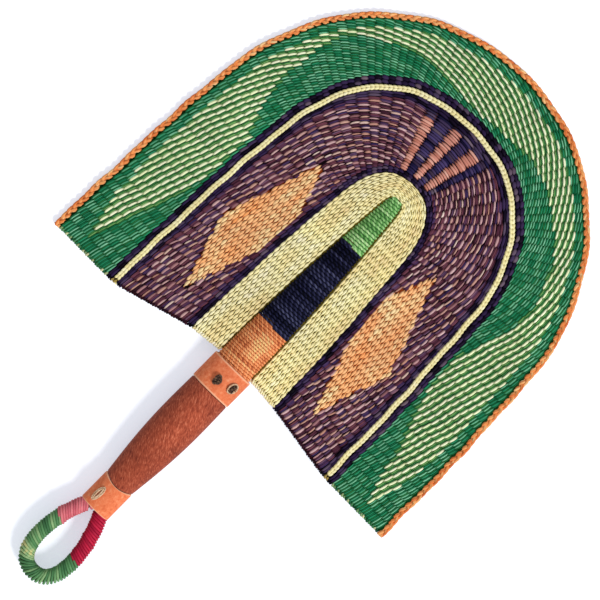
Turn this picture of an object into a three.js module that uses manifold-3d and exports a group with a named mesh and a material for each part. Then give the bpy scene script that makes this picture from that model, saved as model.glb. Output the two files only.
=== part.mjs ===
// Woven grass hand fan with a leather-bound handle and a hanging loop, lying flat with its face up.
// Millimetres. +Y runs from the loop up the handle to the crown of the blade, +X points right, +Z up.
// The blade is twined: rows of grass run round it in a U and cover stems that cross it, which show as
// ribs. More stems join at the crown, so the ribs stay close where the rows grow longer. The blade
// hangs down a little from the spine, so that its braided rim rests on the table with the grip.
import * as THREE from "three";
import { mergeVertices } from "three/addons/utils/BufferGeometryUtils.js";
import Module from "manifold-3d";

const wasm = await Module();
wasm.setup();

// Space left between pieces that touch
const gap = 0.3;

// The handle leans a little from the middle of the blade and crosses it at this height above its root
const handleLean = THREE.MathUtils.degToRad(1.15);
const leanHeight = 38;
// Height of the middle of the handle above the table
const handleHeight = 10;

// Stem bundle in the handle: widest in the grip, drawn in to the lower collar
const bundleTopHalfWidth = 12.8;
const bundleTopHalfThickness = 8.9;
const bundleBottomHalfWidth = 8.9;
const bundleBottomHalfThickness = 6;
const bundleSwellWidth = 1.9;
const bundleSwellThickness = 1.3;
const bundleSides = 10;
const bundleSteps = 8;
const spineSteps = 10;

// Leather on the handle
const gripLength = 81;
const gripLeather = 1.4;
const upperCollarLength = 20.8;
const lowerCollarLength = 21.4;
const collarLeather = 1.8;
const leatherSides = 20;
const gripSteps = 8;
const collarSteps = 2;

// Lace knots on the collars, placed across the handle and down from the top of their collar
const upperKnotRadius = 1.9;
const upperKnotLace = 0.75;
const upperKnotSteps = 30;
const upperKnotTurns = 2;
const upperKnotLobes = 3;
const upperKnotSides = 5;
const upperKnotLeftAcross = -1.3;
const upperKnotLeftDown = 12;
const upperKnotRightAcross = 8.8;
const upperKnotRightDown = 9.5;
const lowerLoopAcross = -4.4;
const lowerLoopDown = 12;
const lowerLoopHalfWidth = 2.1;
const lowerLoopHalfLength = 4.6;
const lowerLoopLace = 0.8;
const lowerLoopSides = 6;
const lowerLoopSteps = 14;

// Hanging loop of bent stems below the lower collar, measured on its middle line
const loopHalfWidth = 14.8;
const loopLength = 55;
const loopStemRadius = 3.5;
const loopLegSpread = 5.3;
const loopLegInset = 3.9;
const loopTuck = 9;
const loopEndRoom = 0.9;
// How far the bends of the loop pull outwards, as shares of its half width: beside it and below it
const loopSidePull = 1.02;
const loopBottomPull = 1.36;
const loopStep = 5;
const loopPinkLength = 19.5;
const loopRedLength = 33;
const loopSides = 8;

// Strands wound round the spine and the loop
const strandThickness = 1.3;
const strandSlack = 0.6;
// Flattened section of a strand, in half widths along the stem and half thicknesses out of it
const strandSection = [[1, 0], [0.6, 1], [-0.6, 1], [-1, 0], [0, -1]];
const orangeWrapLength = 35;
const navyWrapLength = 70.5;
const greenWrapLength = 38.5;
const orangeWrapTurns = 7;
const navyWrapTurns = 14;
const greenWrapTurns = 8;
const loopPinkTurns = 3;
const loopGreenTurns = 13;
const loopRedTurns = 5;

// Spine, measured over its strands, from the upper collar to its round tip
const spineRootHalfWidth = 13.5;
const spineRootHalfThickness = 8.5;
const spineShoulderHalfWidth = 7.8;
const spineTipFullness = 6;
const spineTipLength = 2.5;
const spineTipRadius = 1.6;
const spineLength = orangeWrapLength + navyWrapLength + greenWrapLength + spineTipLength;

// The rows run straight up both legs to the shoulder and then close over the crown
const shoulderHeight = 121.6;
const legFlare = 1.7;
const ribsPerLeg = 22;
const crownRibs = 32;

// Places along a row: its foot on either side
const leftFoot = -2;
const rightFoot = 2;
const crownTraceSteps = 160;

// Woven bands from the spine out: widths at the foot of a leg, at the shoulder and at the crown, how
// square the outer row is at the crown, half thicknesses on a rib and between two ribs, and ribs from
// shoulder to shoulder. A bump is one rib long, or two on the chain and the braid.
const creamBand = {
  foot: 21.8, shoulder: 20.9, crown: 13, fullness: 2.6,
  rib: 2.3, dip: 1.7, bump: 1, crownRibs: 18,
};
const innerNavyRows = {
  foot: 3.6, shoulder: 3.6, crown: 3.4, fullness: 2.6,
  rib: 2.3, dip: 2.3, bump: 1, crownRibs,
};
const purpleBand = {
  foot: 44.9, shoulder: 45.8, crown: 41, fullness: 2.4,
  rib: 2.3, dip: 1.6, bump: 1, crownRibs,
};
const middleNavyRows = {
  foot: 3.2, shoulder: 3.2, crown: 3.8, fullness: 2.4,
  rib: 2.3, dip: 2.3, bump: 1, crownRibs,
};
const chainLine = {
  foot: 3.7, shoulder: 3.7, crown: 3.7, fullness: 2.4,
  rib: 2.9, dip: 2.3, bump: 2, crownRibs,
};
const outerNavyRows = {
  foot: 3.4, shoulder: 4.2, crown: 4.8, fullness: 2.4,
  rib: 2.3, dip: 2.3, bump: 1, crownRibs,
};
const greenBand = {
  foot: 41.6, shoulder: 41.7, crown: 37.3, fullness: 2.15,
  rib: 2.3, dip: 1.6, bump: 1, crownRibs: 2 * crownRibs,
};
const rimBraid = {
  foot: 4.9, shoulder: 4.7, crown: 4.9, fullness: 2.1,
  rib: 2.75, dip: 2.4, bump: 2, crownRibs,
};
const bands = [
  creamBand, innerNavyRows, purpleBand, middleNavyRows,
  chainLine, outerNavyRows, greenBand, rimBraid,
];

// Feet of the blade: level beside the handle, then lower out to the corners, more so on the left
const footRise = 1.3;
const leftFootDrop = 18.9;
const rightFootDrop = 9.5;
const footBendStart = 15;
const footBendEnd = 100;
const footEdgeRadius = 1.3;
const cordSides = 8;

// Diamonds in the purple band: corners as [share across the band, place along the row], where a place
// runs from 2 at the foot through 1 at the shoulder to 0 at the crown
const diamondCorners = [[0.38, 1.87], [0.77, 1.45], [0.38, 0.89], [0.035, 1.2], [0.035, 1.46]];

// Fan of coloured ribs at the crown of the purple band, as counts of ribs from the crown
const wedgeEdges = [-3.7, -2.7, -1.15, -0.15, 1.15, 2.25, 3.1];
const wedgeNames = [
  "wedge_salmon_left", "wedge_navy_left", "wedge_salmon_middle",
  "wedge_navy_middle", "wedge_salmon_right", "wedge_navy_right",
];

// Colours
const dyedGreen = 0x157848;
const dyedPurple = 0x4a2a3c;
const dyedNavy = 0x231c48;
const dyedOrange = 0xeb9150;
const dyedSalmon = 0xc0705a;
const dyedLeafGreen = 0x5a9646;
const naturalCream = 0xe6da96;
const edgeSage = 0x9ab08c;
const loopPink = 0xd7646e;
const loopGreen = 0x508c50;
const loopRed = 0xbe193c;
const stemBrown = 0x9a7a48;
const suedeBrown = 0xa0462d;
const collarTan = 0xdc7a4c;
const laceBrown = 0x6a5848;
const laceCream = 0xc8be96;

const strawFinish = { roughness: 0.75, metalness: 0 };
const leatherFinish = { roughness: 0.85, metalness: 0 };

// Stacks equal rings of points into one closed skin. An open stack gets flat ends, and an endless one
// returns to its first ring.
function skin(rings, endless = false) {
  const count = rings[0].length;
  const spans = endless ? rings.length : rings.length - 1;
  const index = [];
  for (let ring = 0; ring < spans; ring += 1) {
    const low = ring * count;
    const high = ((ring + 1) % rings.length) * count;
    for (let step = 0; step < count; step += 1) {
      const next = (step + 1) % count;
      index.push(low + step, low + next, high + next, low + step, high + next, high + step);
    }
  }
  if (!endless) {
    const last = (rings.length - 1) * count;
    for (let step = 1; step < count - 1; step += 1) {
      index.push(0, step + 1, step, last, last + step, last + step + 1);
    }
  }
  const geometry = new THREE.BufferGeometry();
  const positions = rings.flat().flatMap((point) => [point.x, point.y, point.z]);
  geometry.setAttribute("position", new THREE.Float32BufferAttribute(positions, 3));
  geometry.setIndex(signedVolume(positions, index) < 0 ? index.reverse() : index);
  return geometry;
}

function signedVolume(positions, index) {
  let volume = 0;
  const [a, b, c] = [new THREE.Vector3(), new THREE.Vector3(), new THREE.Vector3()];
  for (let corner = 0; corner < index.length; corner += 3) {
    a.fromArray(positions, 3 * index[corner]);
    b.fromArray(positions, 3 * index[corner + 1]);
    c.fromArray(positions, 3 * index[corner + 2]);
    volume += a.dot(b.cross(c)) / 6;
  }
  return volume;
}

// Boolean cuts
function toSolid(geometry) {
  const bare = geometry.clone();
  bare.deleteAttribute("normal");
  bare.deleteAttribute("uv");
  const merged = mergeVertices(bare, 1e-4);
  return new wasm.Manifold(new wasm.Mesh({
    numProp: 3,
    vertProperties: new Float32Array(merged.attributes.position.array),
    triVerts: new Uint32Array(merged.index.array),
  }));
}

function toGeometry(solid) {
  const mesh = solid.getMesh();
  const geometry = new THREE.BufferGeometry();
  geometry.setAttribute("position", new THREE.BufferAttribute(mesh.vertProperties, 3));
  geometry.setIndex(new THREE.BufferAttribute(mesh.triVerts, 1));
  return geometry;
}

// Upright prism through the whole blade on a flat outline
function prism(outline) {
  const depth = 4 * handleHeight;
  const geometry = new THREE.ExtrudeGeometry(new THREE.Shape(outline), { depth, bevelEnabled: false });
  return geometry.translate(0, 0, -depth / 4);
}

// Moves every side of a counter-clockwise outline out by the margin
function growOutline(outline, margin) {
  return outline.map((corner, place) => {
    const before = outline[(place + outline.length - 1) % outline.length];
    const after = outline[(place + 1) % outline.length];
    const sideIn = corner.clone().sub(before).normalize();
    const sideOut = after.clone().sub(corner).normalize();
    const outward = new THREE.Vector2(sideIn.y + sideOut.y, -sideIn.x - sideOut.x).normalize();
    const spread = Math.max(0.2, outward.dot(new THREE.Vector2(sideIn.y, -sideIn.x)));
    return corner.clone().addScaledVector(outward, margin / spread);
  });
}

// Handle. All heights along it count from the top of the upper collar, the root of the spine.
const upperCollarBottom = -upperCollarLength;
const gripTop = upperCollarBottom - gap;
const gripBottom = gripTop - gripLength;
const lowerCollarTop = gripBottom - gap;
const lowerCollarBottom = lowerCollarTop - lowerCollarLength;
const loopTuckTop = lowerCollarBottom + loopTuck;

// Half width and half thickness of the bare stem bundle inside the leather
function bundleSize(y) {
  const share = THREE.MathUtils.clamp((gripTop - y) / gripLength, 0, 1);
  const swell = Math.sin(Math.PI * share);
  return {
    halfWidth: THREE.MathUtils.lerp(bundleTopHalfWidth, bundleBottomHalfWidth, share) + bundleSwellWidth * swell,
    halfThickness:
      THREE.MathUtils.lerp(bundleTopHalfThickness, bundleBottomHalfThickness, share) + bundleSwellThickness * swell,
  };
}

// Oval section of the handle, flattened where it would reach below the floor
function ovalRing(y, size, margin, floor, sides) {
  return Array.from({ length: sides }, (_, step) => {
    const angle = (2 * Math.PI * step) / sides;
    const x = (size.halfWidth + margin) * Math.sin(angle);
    const z = handleHeight + (size.halfThickness + margin) * Math.cos(angle);
    return new THREE.Vector3(x, y, Math.max(z, floor));
  });
}

function leatherSleeve(top, bottom, leather, steps) {
  const heights = Array.from({ length: steps + 1 }, (_, step) => THREE.MathUtils.lerp(top, bottom, step / steps));
  const outside = heights.map((y) => ovalRing(y, bundleSize(y), gap + leather, 0, leatherSides));
  const inside = heights.map((y) => ovalRing(y, bundleSize(y), gap, leather, leatherSides));
  return skin([...outside, ...inside.reverse()], true);
}

function collar(top, bottom) {
  return leatherSleeve(top, bottom, collarLeather, collarSteps);
}

function handleCore() {
  const floor = collarLeather + gap;
  const rings = [];
  for (let step = 0; step <= bundleSteps; step += 1) {
    const y = THREE.MathUtils.lerp(loopTuckTop + loopEndRoom, gripTop, step / bundleSteps);
    rings.push(ovalRing(y, bundleSize(y), 0, floor, bundleSides));
  }
  rings.push(ovalRing(upperCollarBottom / 2, bundleSize(0), 0, floor, bundleSides));
  for (let step = 0; step <= spineSteps; step += 1) {
    const y = THREE.MathUtils.lerp(-gap, spineLength - spineTipLength, step / spineSteps);
    rings.push(ovalRing(y, spineSize(y), -strandThickness - gap, floor, bundleSides));
  }
  const tip = { halfWidth: spineTipRadius, halfThickness: spineTipRadius };
  rings.push(ovalRing(spineLength - gap, tip, 0, floor, bundleSides));
  return skin(rings);
}

// Half width and half thickness of the spine over its strands
function spineSize(y) {
  const halfWidth = spineEdge.halfWidthAt(y);
  return { halfWidth, halfThickness: (halfWidth * spineRootHalfThickness) / spineRootHalfWidth };
}

// A strand wound round a stem in one unbroken run. frameAt gives the middle, the two directions across
// the stem, the direction along it, and the half sizes at the middle of the strand.
let leastStrandGap = Infinity;
function winding(frameAt, turns, steps) {
  const halfThickness = strandThickness / 2;
  const total = turns * steps;
  const start = 0.5 / turns;
  const placeOf = (step) => start + ((1 - 2 * start) * step) / total;
  const pointAt = (step) => {
    const frame = frameAt(placeOf(step));
    const angle = (2 * Math.PI * step) / steps;
    return frame.middle.clone()
      .addScaledVector(frame.across, frame.halfWidth * Math.sin(angle))
      .addScaledVector(frame.up, frame.halfThickness * Math.cos(angle));
  };
  const rings = [];
  for (let step = 0; step <= total; step += 1) {
    const frame = frameAt(placeOf(step));
    const angle = (2 * Math.PI * step) / steps;
    const middle = pointAt(step);
    const out = new THREE.Vector3()
      .addScaledVector(frame.across, Math.sin(angle) / frame.halfWidth)
      .addScaledVector(frame.up, Math.cos(angle) / frame.halfThickness)
      .normalize();
    const turnBefore = middle.distanceTo(pointAt(Math.max(0, step - steps)));
    const turnAfter = middle.distanceTo(pointAt(Math.min(total, step + steps)));
    const pitch = Math.min(step < steps ? turnAfter : turnBefore, step > total - steps ? turnBefore : turnAfter);
    const halfWidth = (pitch - strandSlack) / 2;
    rings.push(strandSection.map(([side, lift]) => middle.clone()
      .addScaledVector(frame.along, side * halfWidth)
      .addScaledVector(out, lift * halfThickness)));
  }
  leastStrandGap = Math.min(leastStrandGap, gapToItself(rings, steps));
  return skin(rings);
}

function gapToItself(rings, steps) {
  let least = Infinity;
  for (let ring = 0; ring < rings.length; ring += 1) {
    const farthest = Math.min(rings.length - 1, ring + Math.round(1.5 * steps));
    for (let other = ring + Math.round(steps / 2); other <= farthest; other += 1) {
      for (const point of rings[ring]) {
        for (const facing of rings[other]) {
          least = Math.min(least, point.distanceTo(facing));
        }
      }
    }
  }
  return least;
}

function spineWrap(bottom, length, turns) {
  const frameAt = (place) => {
    const y = bottom + length * place;
    const size = spineSize(y);
    return {
      middle: new THREE.Vector3(0, y, handleHeight),
      across: new THREE.Vector3(1, 0, 0),
      up: new THREE.Vector3(0, 0, 1),
      along: new THREE.Vector3(0, 1, 0),
      halfWidth: size.halfWidth - strandThickness / 2,
      halfThickness: size.halfThickness - strandThickness / 2,
    };
  };
  return winding(frameAt, turns, bundleSides);
}

// Middle line of the hanging loop: up the left leg from the bottom is the same curve as up the right
function loopPath() {
  const bend = (side) => [
    new THREE.Vector3(side * loopLegSpread, lowerCollarBottom, handleHeight),
    new THREE.Vector3(side * loopSidePull * loopHalfWidth, lowerCollarBottom - loopLength / 3, handleHeight),
    new THREE.Vector3(side * loopBottomPull * loopHalfWidth, lowerCollarBottom - loopLength, handleHeight),
    new THREE.Vector3(0, lowerCollarBottom - loopLength, handleHeight),
  ];
  const end = (side) => new THREE.Vector3(side * loopLegInset, loopTuckTop, handleHeight);
  const path = new THREE.CurvePath();
  path.add(new THREE.LineCurve3(end(-1), bend(-1)[0]));
  path.add(new THREE.CubicBezierCurve3(...bend(-1)));
  path.add(new THREE.CubicBezierCurve3(...bend(1).reverse()));
  path.add(new THREE.LineCurve3(bend(1)[0], end(1)));
  return path;
}

const loopLine = loopPath();
const loopLineLength = loopLine.getLength();

function loopFrame(distance, radius) {
  const share = THREE.MathUtils.clamp(distance / loopLineLength, 0, 1);
  const along = loopLine.getTangent(share);
  return {
    middle: loopLine.getPoint(share),
    across: new THREE.Vector3(0, 0, 1).cross(along).normalize(),
    up: new THREE.Vector3(0, 0, 1),
    along,
    halfWidth: radius,
    halfThickness: radius,
  };
}

function loopCore() {
  const steps = Math.round(loopLineLength / loopStep);
  const rings = [];
  for (let step = 0; step <= steps; step += 1) {
    const frame = loopFrame((loopLineLength * step) / steps, loopStemRadius);
    rings.push(Array.from({ length: loopSides }, (_, side) => {
      const angle = (2 * Math.PI * side) / loopSides;
      return frame.middle.clone()
        .addScaledVector(frame.across, loopStemRadius * Math.sin(angle))
        .addScaledVector(frame.up, loopStemRadius * Math.cos(angle));
    }));
  }
  return skin(rings);
}

function loopWrap(start, end, turns) {
  const radius = loopStemRadius + gap + strandThickness / 2;
  return winding((place) => loopFrame(THREE.MathUtils.lerp(start, end, place), radius), turns, loopSides);
}

// Knots. Each lies on the curved top of its collar.
function onCollar(geometry, across, y, lift) {
  const size = bundleSize(y);
  const halfWidth = size.halfWidth + gap + collarLeather;
  const halfThickness = size.halfThickness + gap + collarLeather;
  const angle = Math.asin(across / halfWidth);
  const normal = new THREE.Vector3(Math.sin(angle) / halfWidth, 0, Math.cos(angle) / halfThickness).normalize();
  geometry.rotateY(Math.atan2(normal.x, normal.z));
  const foot = new THREE.Vector3(across, y, handleHeight + halfThickness * Math.cos(angle));
  foot.addScaledVector(normal, lift + gap);
  return geometry.translate(foot.x, foot.y, foot.z);
}

function upperKnot(across, down) {
  const lace = [upperKnotLace, upperKnotSteps, upperKnotSides];
  const knot = new THREE.TorusKnotGeometry(upperKnotRadius, ...lace, upperKnotTurns, upperKnotLobes);
  knot.computeBoundingBox();
  return onCollar(knot, across, -down, -knot.boundingBox.min.z);
}

function lowerLaceLoop() {
  const loop = new THREE.TorusGeometry(lowerLoopHalfWidth, lowerLoopLace, lowerLoopSides, lowerLoopSteps);
  loop.scale(1, lowerLoopHalfLength / lowerLoopHalfWidth, 1);
  return onCollar(loop, lowerLoopAcross, lowerCollarTop - lowerLoopDown, lowerLoopLace);
}

// Blade
const bladeHalfWidth = bands.reduce((width, band) => width + gap + band.foot, spineRootHalfWidth);

// Height of the lower edge of the blade, x from the middle
function footHeight(side, x) {
  const drop = side < 0 ? leftFootDrop : rightFootDrop;
  return footRise - drop * THREE.MathUtils.smoothstep(x, footBendStart, footBendEnd);
}

// A row line of the blade. A place along it runs from -2 at the left foot and -1 at the left shoulder
// over 0 at the crown to 2 at the right foot.
class RowLine {
  constructor(foot, shoulder, crown, fullness, footClear = 0) {
    Object.assign(this, { foot, shoulder, crown, fullness, footClear });
    this.share = (foot - spineRootHalfWidth) / (bladeHalfWidth - spineRootHalfWidth);
    this.height = THREE.MathUtils.lerp(handleHeight, rimBraid.rib, THREE.MathUtils.smoothstep(this.share, 0, 1));
    this.crownPoints = this.traceCrown();
  }

  halfWidthAt(y) {
    if (y <= shoulderHeight) {
      const climb = Math.max(0, y / shoulderHeight) ** legFlare;
      return this.shoulder + (this.foot - this.shoulder) * (1 - climb);
    }
    const drawIn = ((this.foot - this.shoulder) * legFlare * (y - shoulderHeight)) / shoulderHeight;
    const rise = Math.min(1, (y - shoulderHeight) / (this.crown - shoulderHeight));
    return (this.shoulder - drawIn) * (1 - rise ** this.fullness) ** (1 / this.fullness);
  }

  // Points from the shoulder to the crown with the length of the row up to each
  traceCrown() {
    const points = [];
    for (let step = 0; step <= crownTraceSteps; step += 1) {
      const rise = Math.sin((Math.PI * step) / (2 * crownTraceSteps));
      const y = THREE.MathUtils.lerp(shoulderHeight, this.crown, rise);
      const x = this.halfWidthAt(y);
      const last = points.at(-1);
      points.push({ x, y, length: last ? last.length + Math.hypot(x - last.x, y - last.y) : 0 });
    }
    return points;
  }

  get crownLength() {
    return this.crownPoints.at(-1).length;
  }

  crownPoint(share) {
    const length = share * this.crownLength;
    const upper = Math.max(1, this.crownPoints.findIndex((point) => point.length >= length));
    const [from, to] = [this.crownPoints[upper - 1], this.crownPoints[upper]];
    const part = (length - from.length) / (to.length - from.length);
    return { x: THREE.MathUtils.lerp(from.x, to.x, part), y: THREE.MathUtils.lerp(from.y, to.y, part) };
  }

  at(place) {
    const side = place < 0 ? -1 : 1;
    const reach = Math.abs(place);
    let point;
    if (reach <= 1) {
      point = this.crownPoint(1 - reach);
    } else {
      const y = THREE.MathUtils.lerp(shoulderHeight, footHeight(side, this.foot) + this.footClear, reach - 1);
      point = { x: this.halfWidthAt(y), y };
    }
    return new THREE.Vector3(side * point.x + this.leanAt(point.y), point.y, this.height);
  }

  // The rows near the spine lean with it, and the rim stays upright
  leanAt(y) {
    return -Math.tan(handleLean) * (y - leanHeight) * (1 - this.share);
  }
}

const spineEdge = new RowLine(spineRootHalfWidth, spineShoulderHalfWidth, spineLength, spineTipFullness);

// Gives each band its inner and outer row line, from the spine out
function stackBands() {
  let { foot, shoulder, crown, fullness } = spineEdge;
  for (const band of bands) {
    const footClear = band === rimBraid ? 0 : 2 * footEdgeRadius + gap;
    band.inner = new RowLine(foot + gap, shoulder + gap, crown + gap, fullness, footClear);
    foot += gap + band.foot;
    shoulder += gap + band.shoulder;
    crown += gap + band.crown;
    fullness = band.fullness;
    band.outer = new RowLine(foot, shoulder, crown, fullness, footClear);
  }
}

stackBands();

// Ribs counted from the crown to a place along the row, and back
function ribsAt(place, atCrown) {
  const reach = Math.abs(place);
  const count = reach <= 1 ? (reach * atCrown) / 2 : atCrown / 2 + (reach - 1) * ribsPerLeg;
  return Math.sign(place) * count;
}

function placeOfRib(count, atCrown) {
  const reach = Math.abs(count);
  const half = atCrown / 2;
  return Math.sign(count) * (reach <= half ? reach / half : 1 + (reach - half) / ribsPerLeg);
}

// Places where a band between two ends gets a ring: its ends, and the top and foot of every rib
function ringPlaces(from, to, atCrown, perRib) {
  const places = [from];
  const first = Math.floor(ribsAt(from, atCrown) * perRib) + 1;
  for (let count = first; count < ribsAt(to, atCrown) * perRib - 1e-6; count += 1) {
    const place = placeOfRib(count / perRib, atCrown);
    if (place > from + 1e-6) {
      places.push(place);
    }
  }
  return [...places, to];
}

// Half thickness of a band: full on top of a bump and least midway between two
function halfThicknessAt(band, place) {
  const count = Math.abs(ribsAt(place, band.crownRibs)) / band.bump;
  const relief = 1 - Math.abs(2 * (count - Math.floor(count)) - 1);
  return THREE.MathUtils.lerp(band.dip, band.rib, relief);
}

function wovenBand(band, from = leftFoot, to = rightFoot) {
  const perRib = band.rib > band.dip ? 2 / band.bump : 1;
  return skin(ringPlaces(from, to, band.crownRibs, perRib).map((place) => {
    const half = halfThicknessAt(band, place);
    const [inner, outer] = [band.inner.at(place), band.outer.at(place)];
    const lift = new THREE.Vector3(0, 0, half);
    return [inner.clone().sub(lift), outer.clone().sub(lift), outer.clone().add(lift), inner.clone().add(lift)];
  }));
}

// Round braid along the rim, thicker where its strands cross
function braidedRim() {
  const sides = cordSides;
  return skin(ringPlaces(leftFoot, rightFoot, rimBraid.crownRibs, 2 / rimBraid.bump).map((place) => {
    const [inner, outer] = [rimBraid.inner.at(place), rimBraid.outer.at(place)];
    const half = halfThicknessAt(rimBraid, place);
    const middle = inner.clone().add(outer).divideScalar(2).setZ(rimBraid.rib);
    const across = outer.clone().sub(inner).setZ(0).divideScalar(2);
    return Array.from({ length: sides }, (_, side) => {
      const angle = (2 * Math.PI * (side + 0.5)) / sides;
      const [flat, tall] = [Math.cos(angle) / Math.cos(Math.PI / sides), Math.sin(angle) / Math.cos(Math.PI / sides)];
      return middle.clone().addScaledVector(across, flat).add(new THREE.Vector3(0, 0, half * tall));
    });
  }));
}

// Whipped lower edge of one leg, from the spine to the rim
function footEdge(side) {
  const lines = [creamBand.inner, ...bands.slice(0, -1).map((band) => band.outer)];
  return skin(lines.map((line) => {
    const middle = line.at(side * rightFoot);
    const lift = footEdgeRadius - line.footClear;
    return Array.from({ length: cordSides }, (_, step) => {
      const angle = (2 * Math.PI * step) / cordSides;
      const [y, z] = [footEdgeRadius * Math.cos(angle), footEdgeRadius * Math.sin(angle)];
      return middle.clone().add(new THREE.Vector3(0, lift + y, z));
    });
  }));
}

// Point of a band at a share across it
function bandPoint(band, place, across) {
  const point = band.inner.at(place).lerp(band.outer.at(place), across);
  return new THREE.Vector2(point.x, point.y);
}

// Makes an outline run counter-clockwise
function turned(outline) {
  return THREE.ShapeUtils.isClockWise(outline) ? outline.reverse() : outline;
}

function diamondOutline(side) {
  return turned(diamondCorners.map(([across, place]) => bandPoint(purpleBand, side * place, across)));
}

// Sets a piece of another colour into a woven piece: returns the woven piece with its hole, and the inset
function inset(woven, outline) {
  const solid = toSolid(woven);
  const hole = toSolid(prism(growOutline(outline, gap)));
  const fill = toSolid(prism(outline));
  return [toGeometry(solid.subtract(hole)), toGeometry(solid.intersect(fill))];
}

function piece(name, geometry, color, finish = strawFinish) {
  const mesh = new THREE.Mesh(geometry, new THREE.MeshStandardMaterial({ color, ...finish }));
  mesh.name = name;
  return mesh;
}

// Handle and spine, turned together about the point where they cross the middle of the blade
function handle() {
  const knotLeft = upperKnot(upperKnotLeftAcross, upperKnotLeftDown);
  const knotRight = upperKnot(upperKnotRightAcross, upperKnotRightDown);
  const navyBottom = orangeWrapLength;
  const greenBottom = navyBottom + navyWrapLength;
  const pinkStart = loopTuck + gap;
  const greenStart = pinkStart + loopPinkLength;
  const redEnd = loopLineLength - pinkStart;
  const redStart = redEnd - loopRedLength;
  const parts = new THREE.Group();
  parts.add(
    piece("handle_core", handleCore(), stemBrown),
    piece("grip_leather", leatherSleeve(gripTop, gripBottom, gripLeather, gripSteps), suedeBrown, leatherFinish),
    piece("upper_collar", collar(0, upperCollarBottom), collarTan, leatherFinish),
    piece("lower_collar", collar(lowerCollarTop, lowerCollarBottom), collarTan, leatherFinish),
    piece("upper_lace_knot_left", knotLeft, laceBrown, leatherFinish),
    piece("upper_lace_knot_right", knotRight, laceCream, leatherFinish),
    piece("lower_lace_loop", lowerLaceLoop(), laceCream, leatherFinish),
    piece("spine_wrap_orange", spineWrap(gap, orangeWrapLength - gap, orangeWrapTurns), dyedOrange),
    piece("spine_wrap_navy", spineWrap(navyBottom, navyWrapLength, navyWrapTurns), dyedNavy),
    piece("spine_wrap_green", spineWrap(greenBottom, greenWrapLength, greenWrapTurns), dyedLeafGreen),
    piece("loop_core", loopCore(), stemBrown),
    piece("loop_wrap_pink", loopWrap(pinkStart, greenStart, loopPinkTurns), loopPink),
    piece("loop_wrap_green", loopWrap(greenStart, redStart, loopGreenTurns), loopGreen),
    piece("loop_wrap_red", loopWrap(redStart, redEnd, loopRedTurns), loopRed),
  );
  parts.position.y = -leanHeight;
  const leaning = new THREE.Group().add(parts);
  leaning.position.y = leanHeight;
  leaning.rotation.z = handleLean;
  return leaning;
}

function purplePieces() {
  const places = wedgeEdges.map((count) => placeOfRib(count, purpleBand.crownRibs));
  const halfGap = gap / 2 / purpleBand.inner.crownLength;
  const purpleHalves = [
    wovenBand(purpleBand, leftFoot, places[0] - halfGap),
    wovenBand(purpleBand, places.at(-1) + halfGap, rightFoot),
  ];
  const [purpleLeft, diamondLeft] = inset(purpleHalves[0], diamondOutline(-1));
  const [purpleRight, diamondRight] = inset(purpleHalves[1], diamondOutline(1));
  const wedges = wedgeNames.map((name, place) => {
    const shape = wovenBand(purpleBand, places[place] + halfGap, places[place + 1] - halfGap);
    return piece(name, shape, name.includes("salmon") ? dyedSalmon : dyedNavy);
  });
  return [
    piece("purple_band_left", purpleLeft, dyedPurple),
    piece("purple_band_right", purpleRight, dyedPurple),
    piece("diamond_left", diamondLeft, dyedOrange),
    piece("diamond_right", diamondRight, dyedOrange),
    ...wedges,
  ];
}

function blade() {
  return new THREE.Group().add(
    piece("cream_band", wovenBand(creamBand), naturalCream),
    piece("inner_navy_rows", wovenBand(innerNavyRows), dyedNavy),
    ...purplePieces(),
    piece("middle_navy_rows", wovenBand(middleNavyRows), dyedNavy),
    piece("chain_line", wovenBand(chainLine), naturalCream),
    piece("outer_navy_rows", wovenBand(outerNavyRows), dyedNavy),
    piece("green_band", wovenBand(greenBand), dyedGreen),
    piece("rim_braid", braidedRim(), dyedOrange),
    piece("base_edge_left", footEdge(-1), edgeSage),
    piece("base_edge_right", footEdge(1), edgeSage),
  );
}

// The whole fan, with its origin at the middle of its underside
const fan = new THREE.Group().add(blade(), handle());
fan.updateMatrixWorld(true);
const box = new THREE.Box3().setFromObject(fan, true);
fan.position.set(-(box.min.x + box.max.x) / 2, -(box.min.y + box.max.y) / 2, -box.min.z);
fan.updateMatrixWorld(true);
console.log(`least gap of a wound strand to itself: ${leastStrandGap.toFixed(2)} mm`);

export default fan;
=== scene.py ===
"""Woven hand fan of twined dyed grass, with a wound spine, a leather grip and a hanging loop.

The blade and handle classes work in millimetres, in the frame's own axes: +Y runs up the handle to the
crown of the blade, +X points right and +Z up. Meshes are turned into metres when they become objects.
"""

import logging
import math
from collections.abc import Sequence
from dataclasses import dataclass, field
from enum import Enum, IntEnum

import bmesh
import bpy
import numpy as np
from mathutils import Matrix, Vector


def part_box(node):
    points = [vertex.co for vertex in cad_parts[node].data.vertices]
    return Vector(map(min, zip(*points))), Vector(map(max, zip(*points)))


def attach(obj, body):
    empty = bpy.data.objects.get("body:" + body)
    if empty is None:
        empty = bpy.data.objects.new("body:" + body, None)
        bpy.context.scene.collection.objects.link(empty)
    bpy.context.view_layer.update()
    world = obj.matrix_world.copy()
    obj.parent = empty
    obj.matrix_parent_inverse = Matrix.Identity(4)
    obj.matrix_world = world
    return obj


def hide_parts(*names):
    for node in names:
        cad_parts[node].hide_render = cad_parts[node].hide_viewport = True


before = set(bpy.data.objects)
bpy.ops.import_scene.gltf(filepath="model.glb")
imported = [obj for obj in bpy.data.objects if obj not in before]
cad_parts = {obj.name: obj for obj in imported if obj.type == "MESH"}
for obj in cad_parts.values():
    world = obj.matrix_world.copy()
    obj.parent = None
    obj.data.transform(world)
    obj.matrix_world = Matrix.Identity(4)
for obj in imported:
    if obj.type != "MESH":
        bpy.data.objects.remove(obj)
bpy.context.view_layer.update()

LOG = logging.getLogger("woven_fan")
MM = 0.001
BODY = "root"
GRAINS_PER_METRE = 250.0  # how close the fibre lines of a long cord follow each other along it

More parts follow.
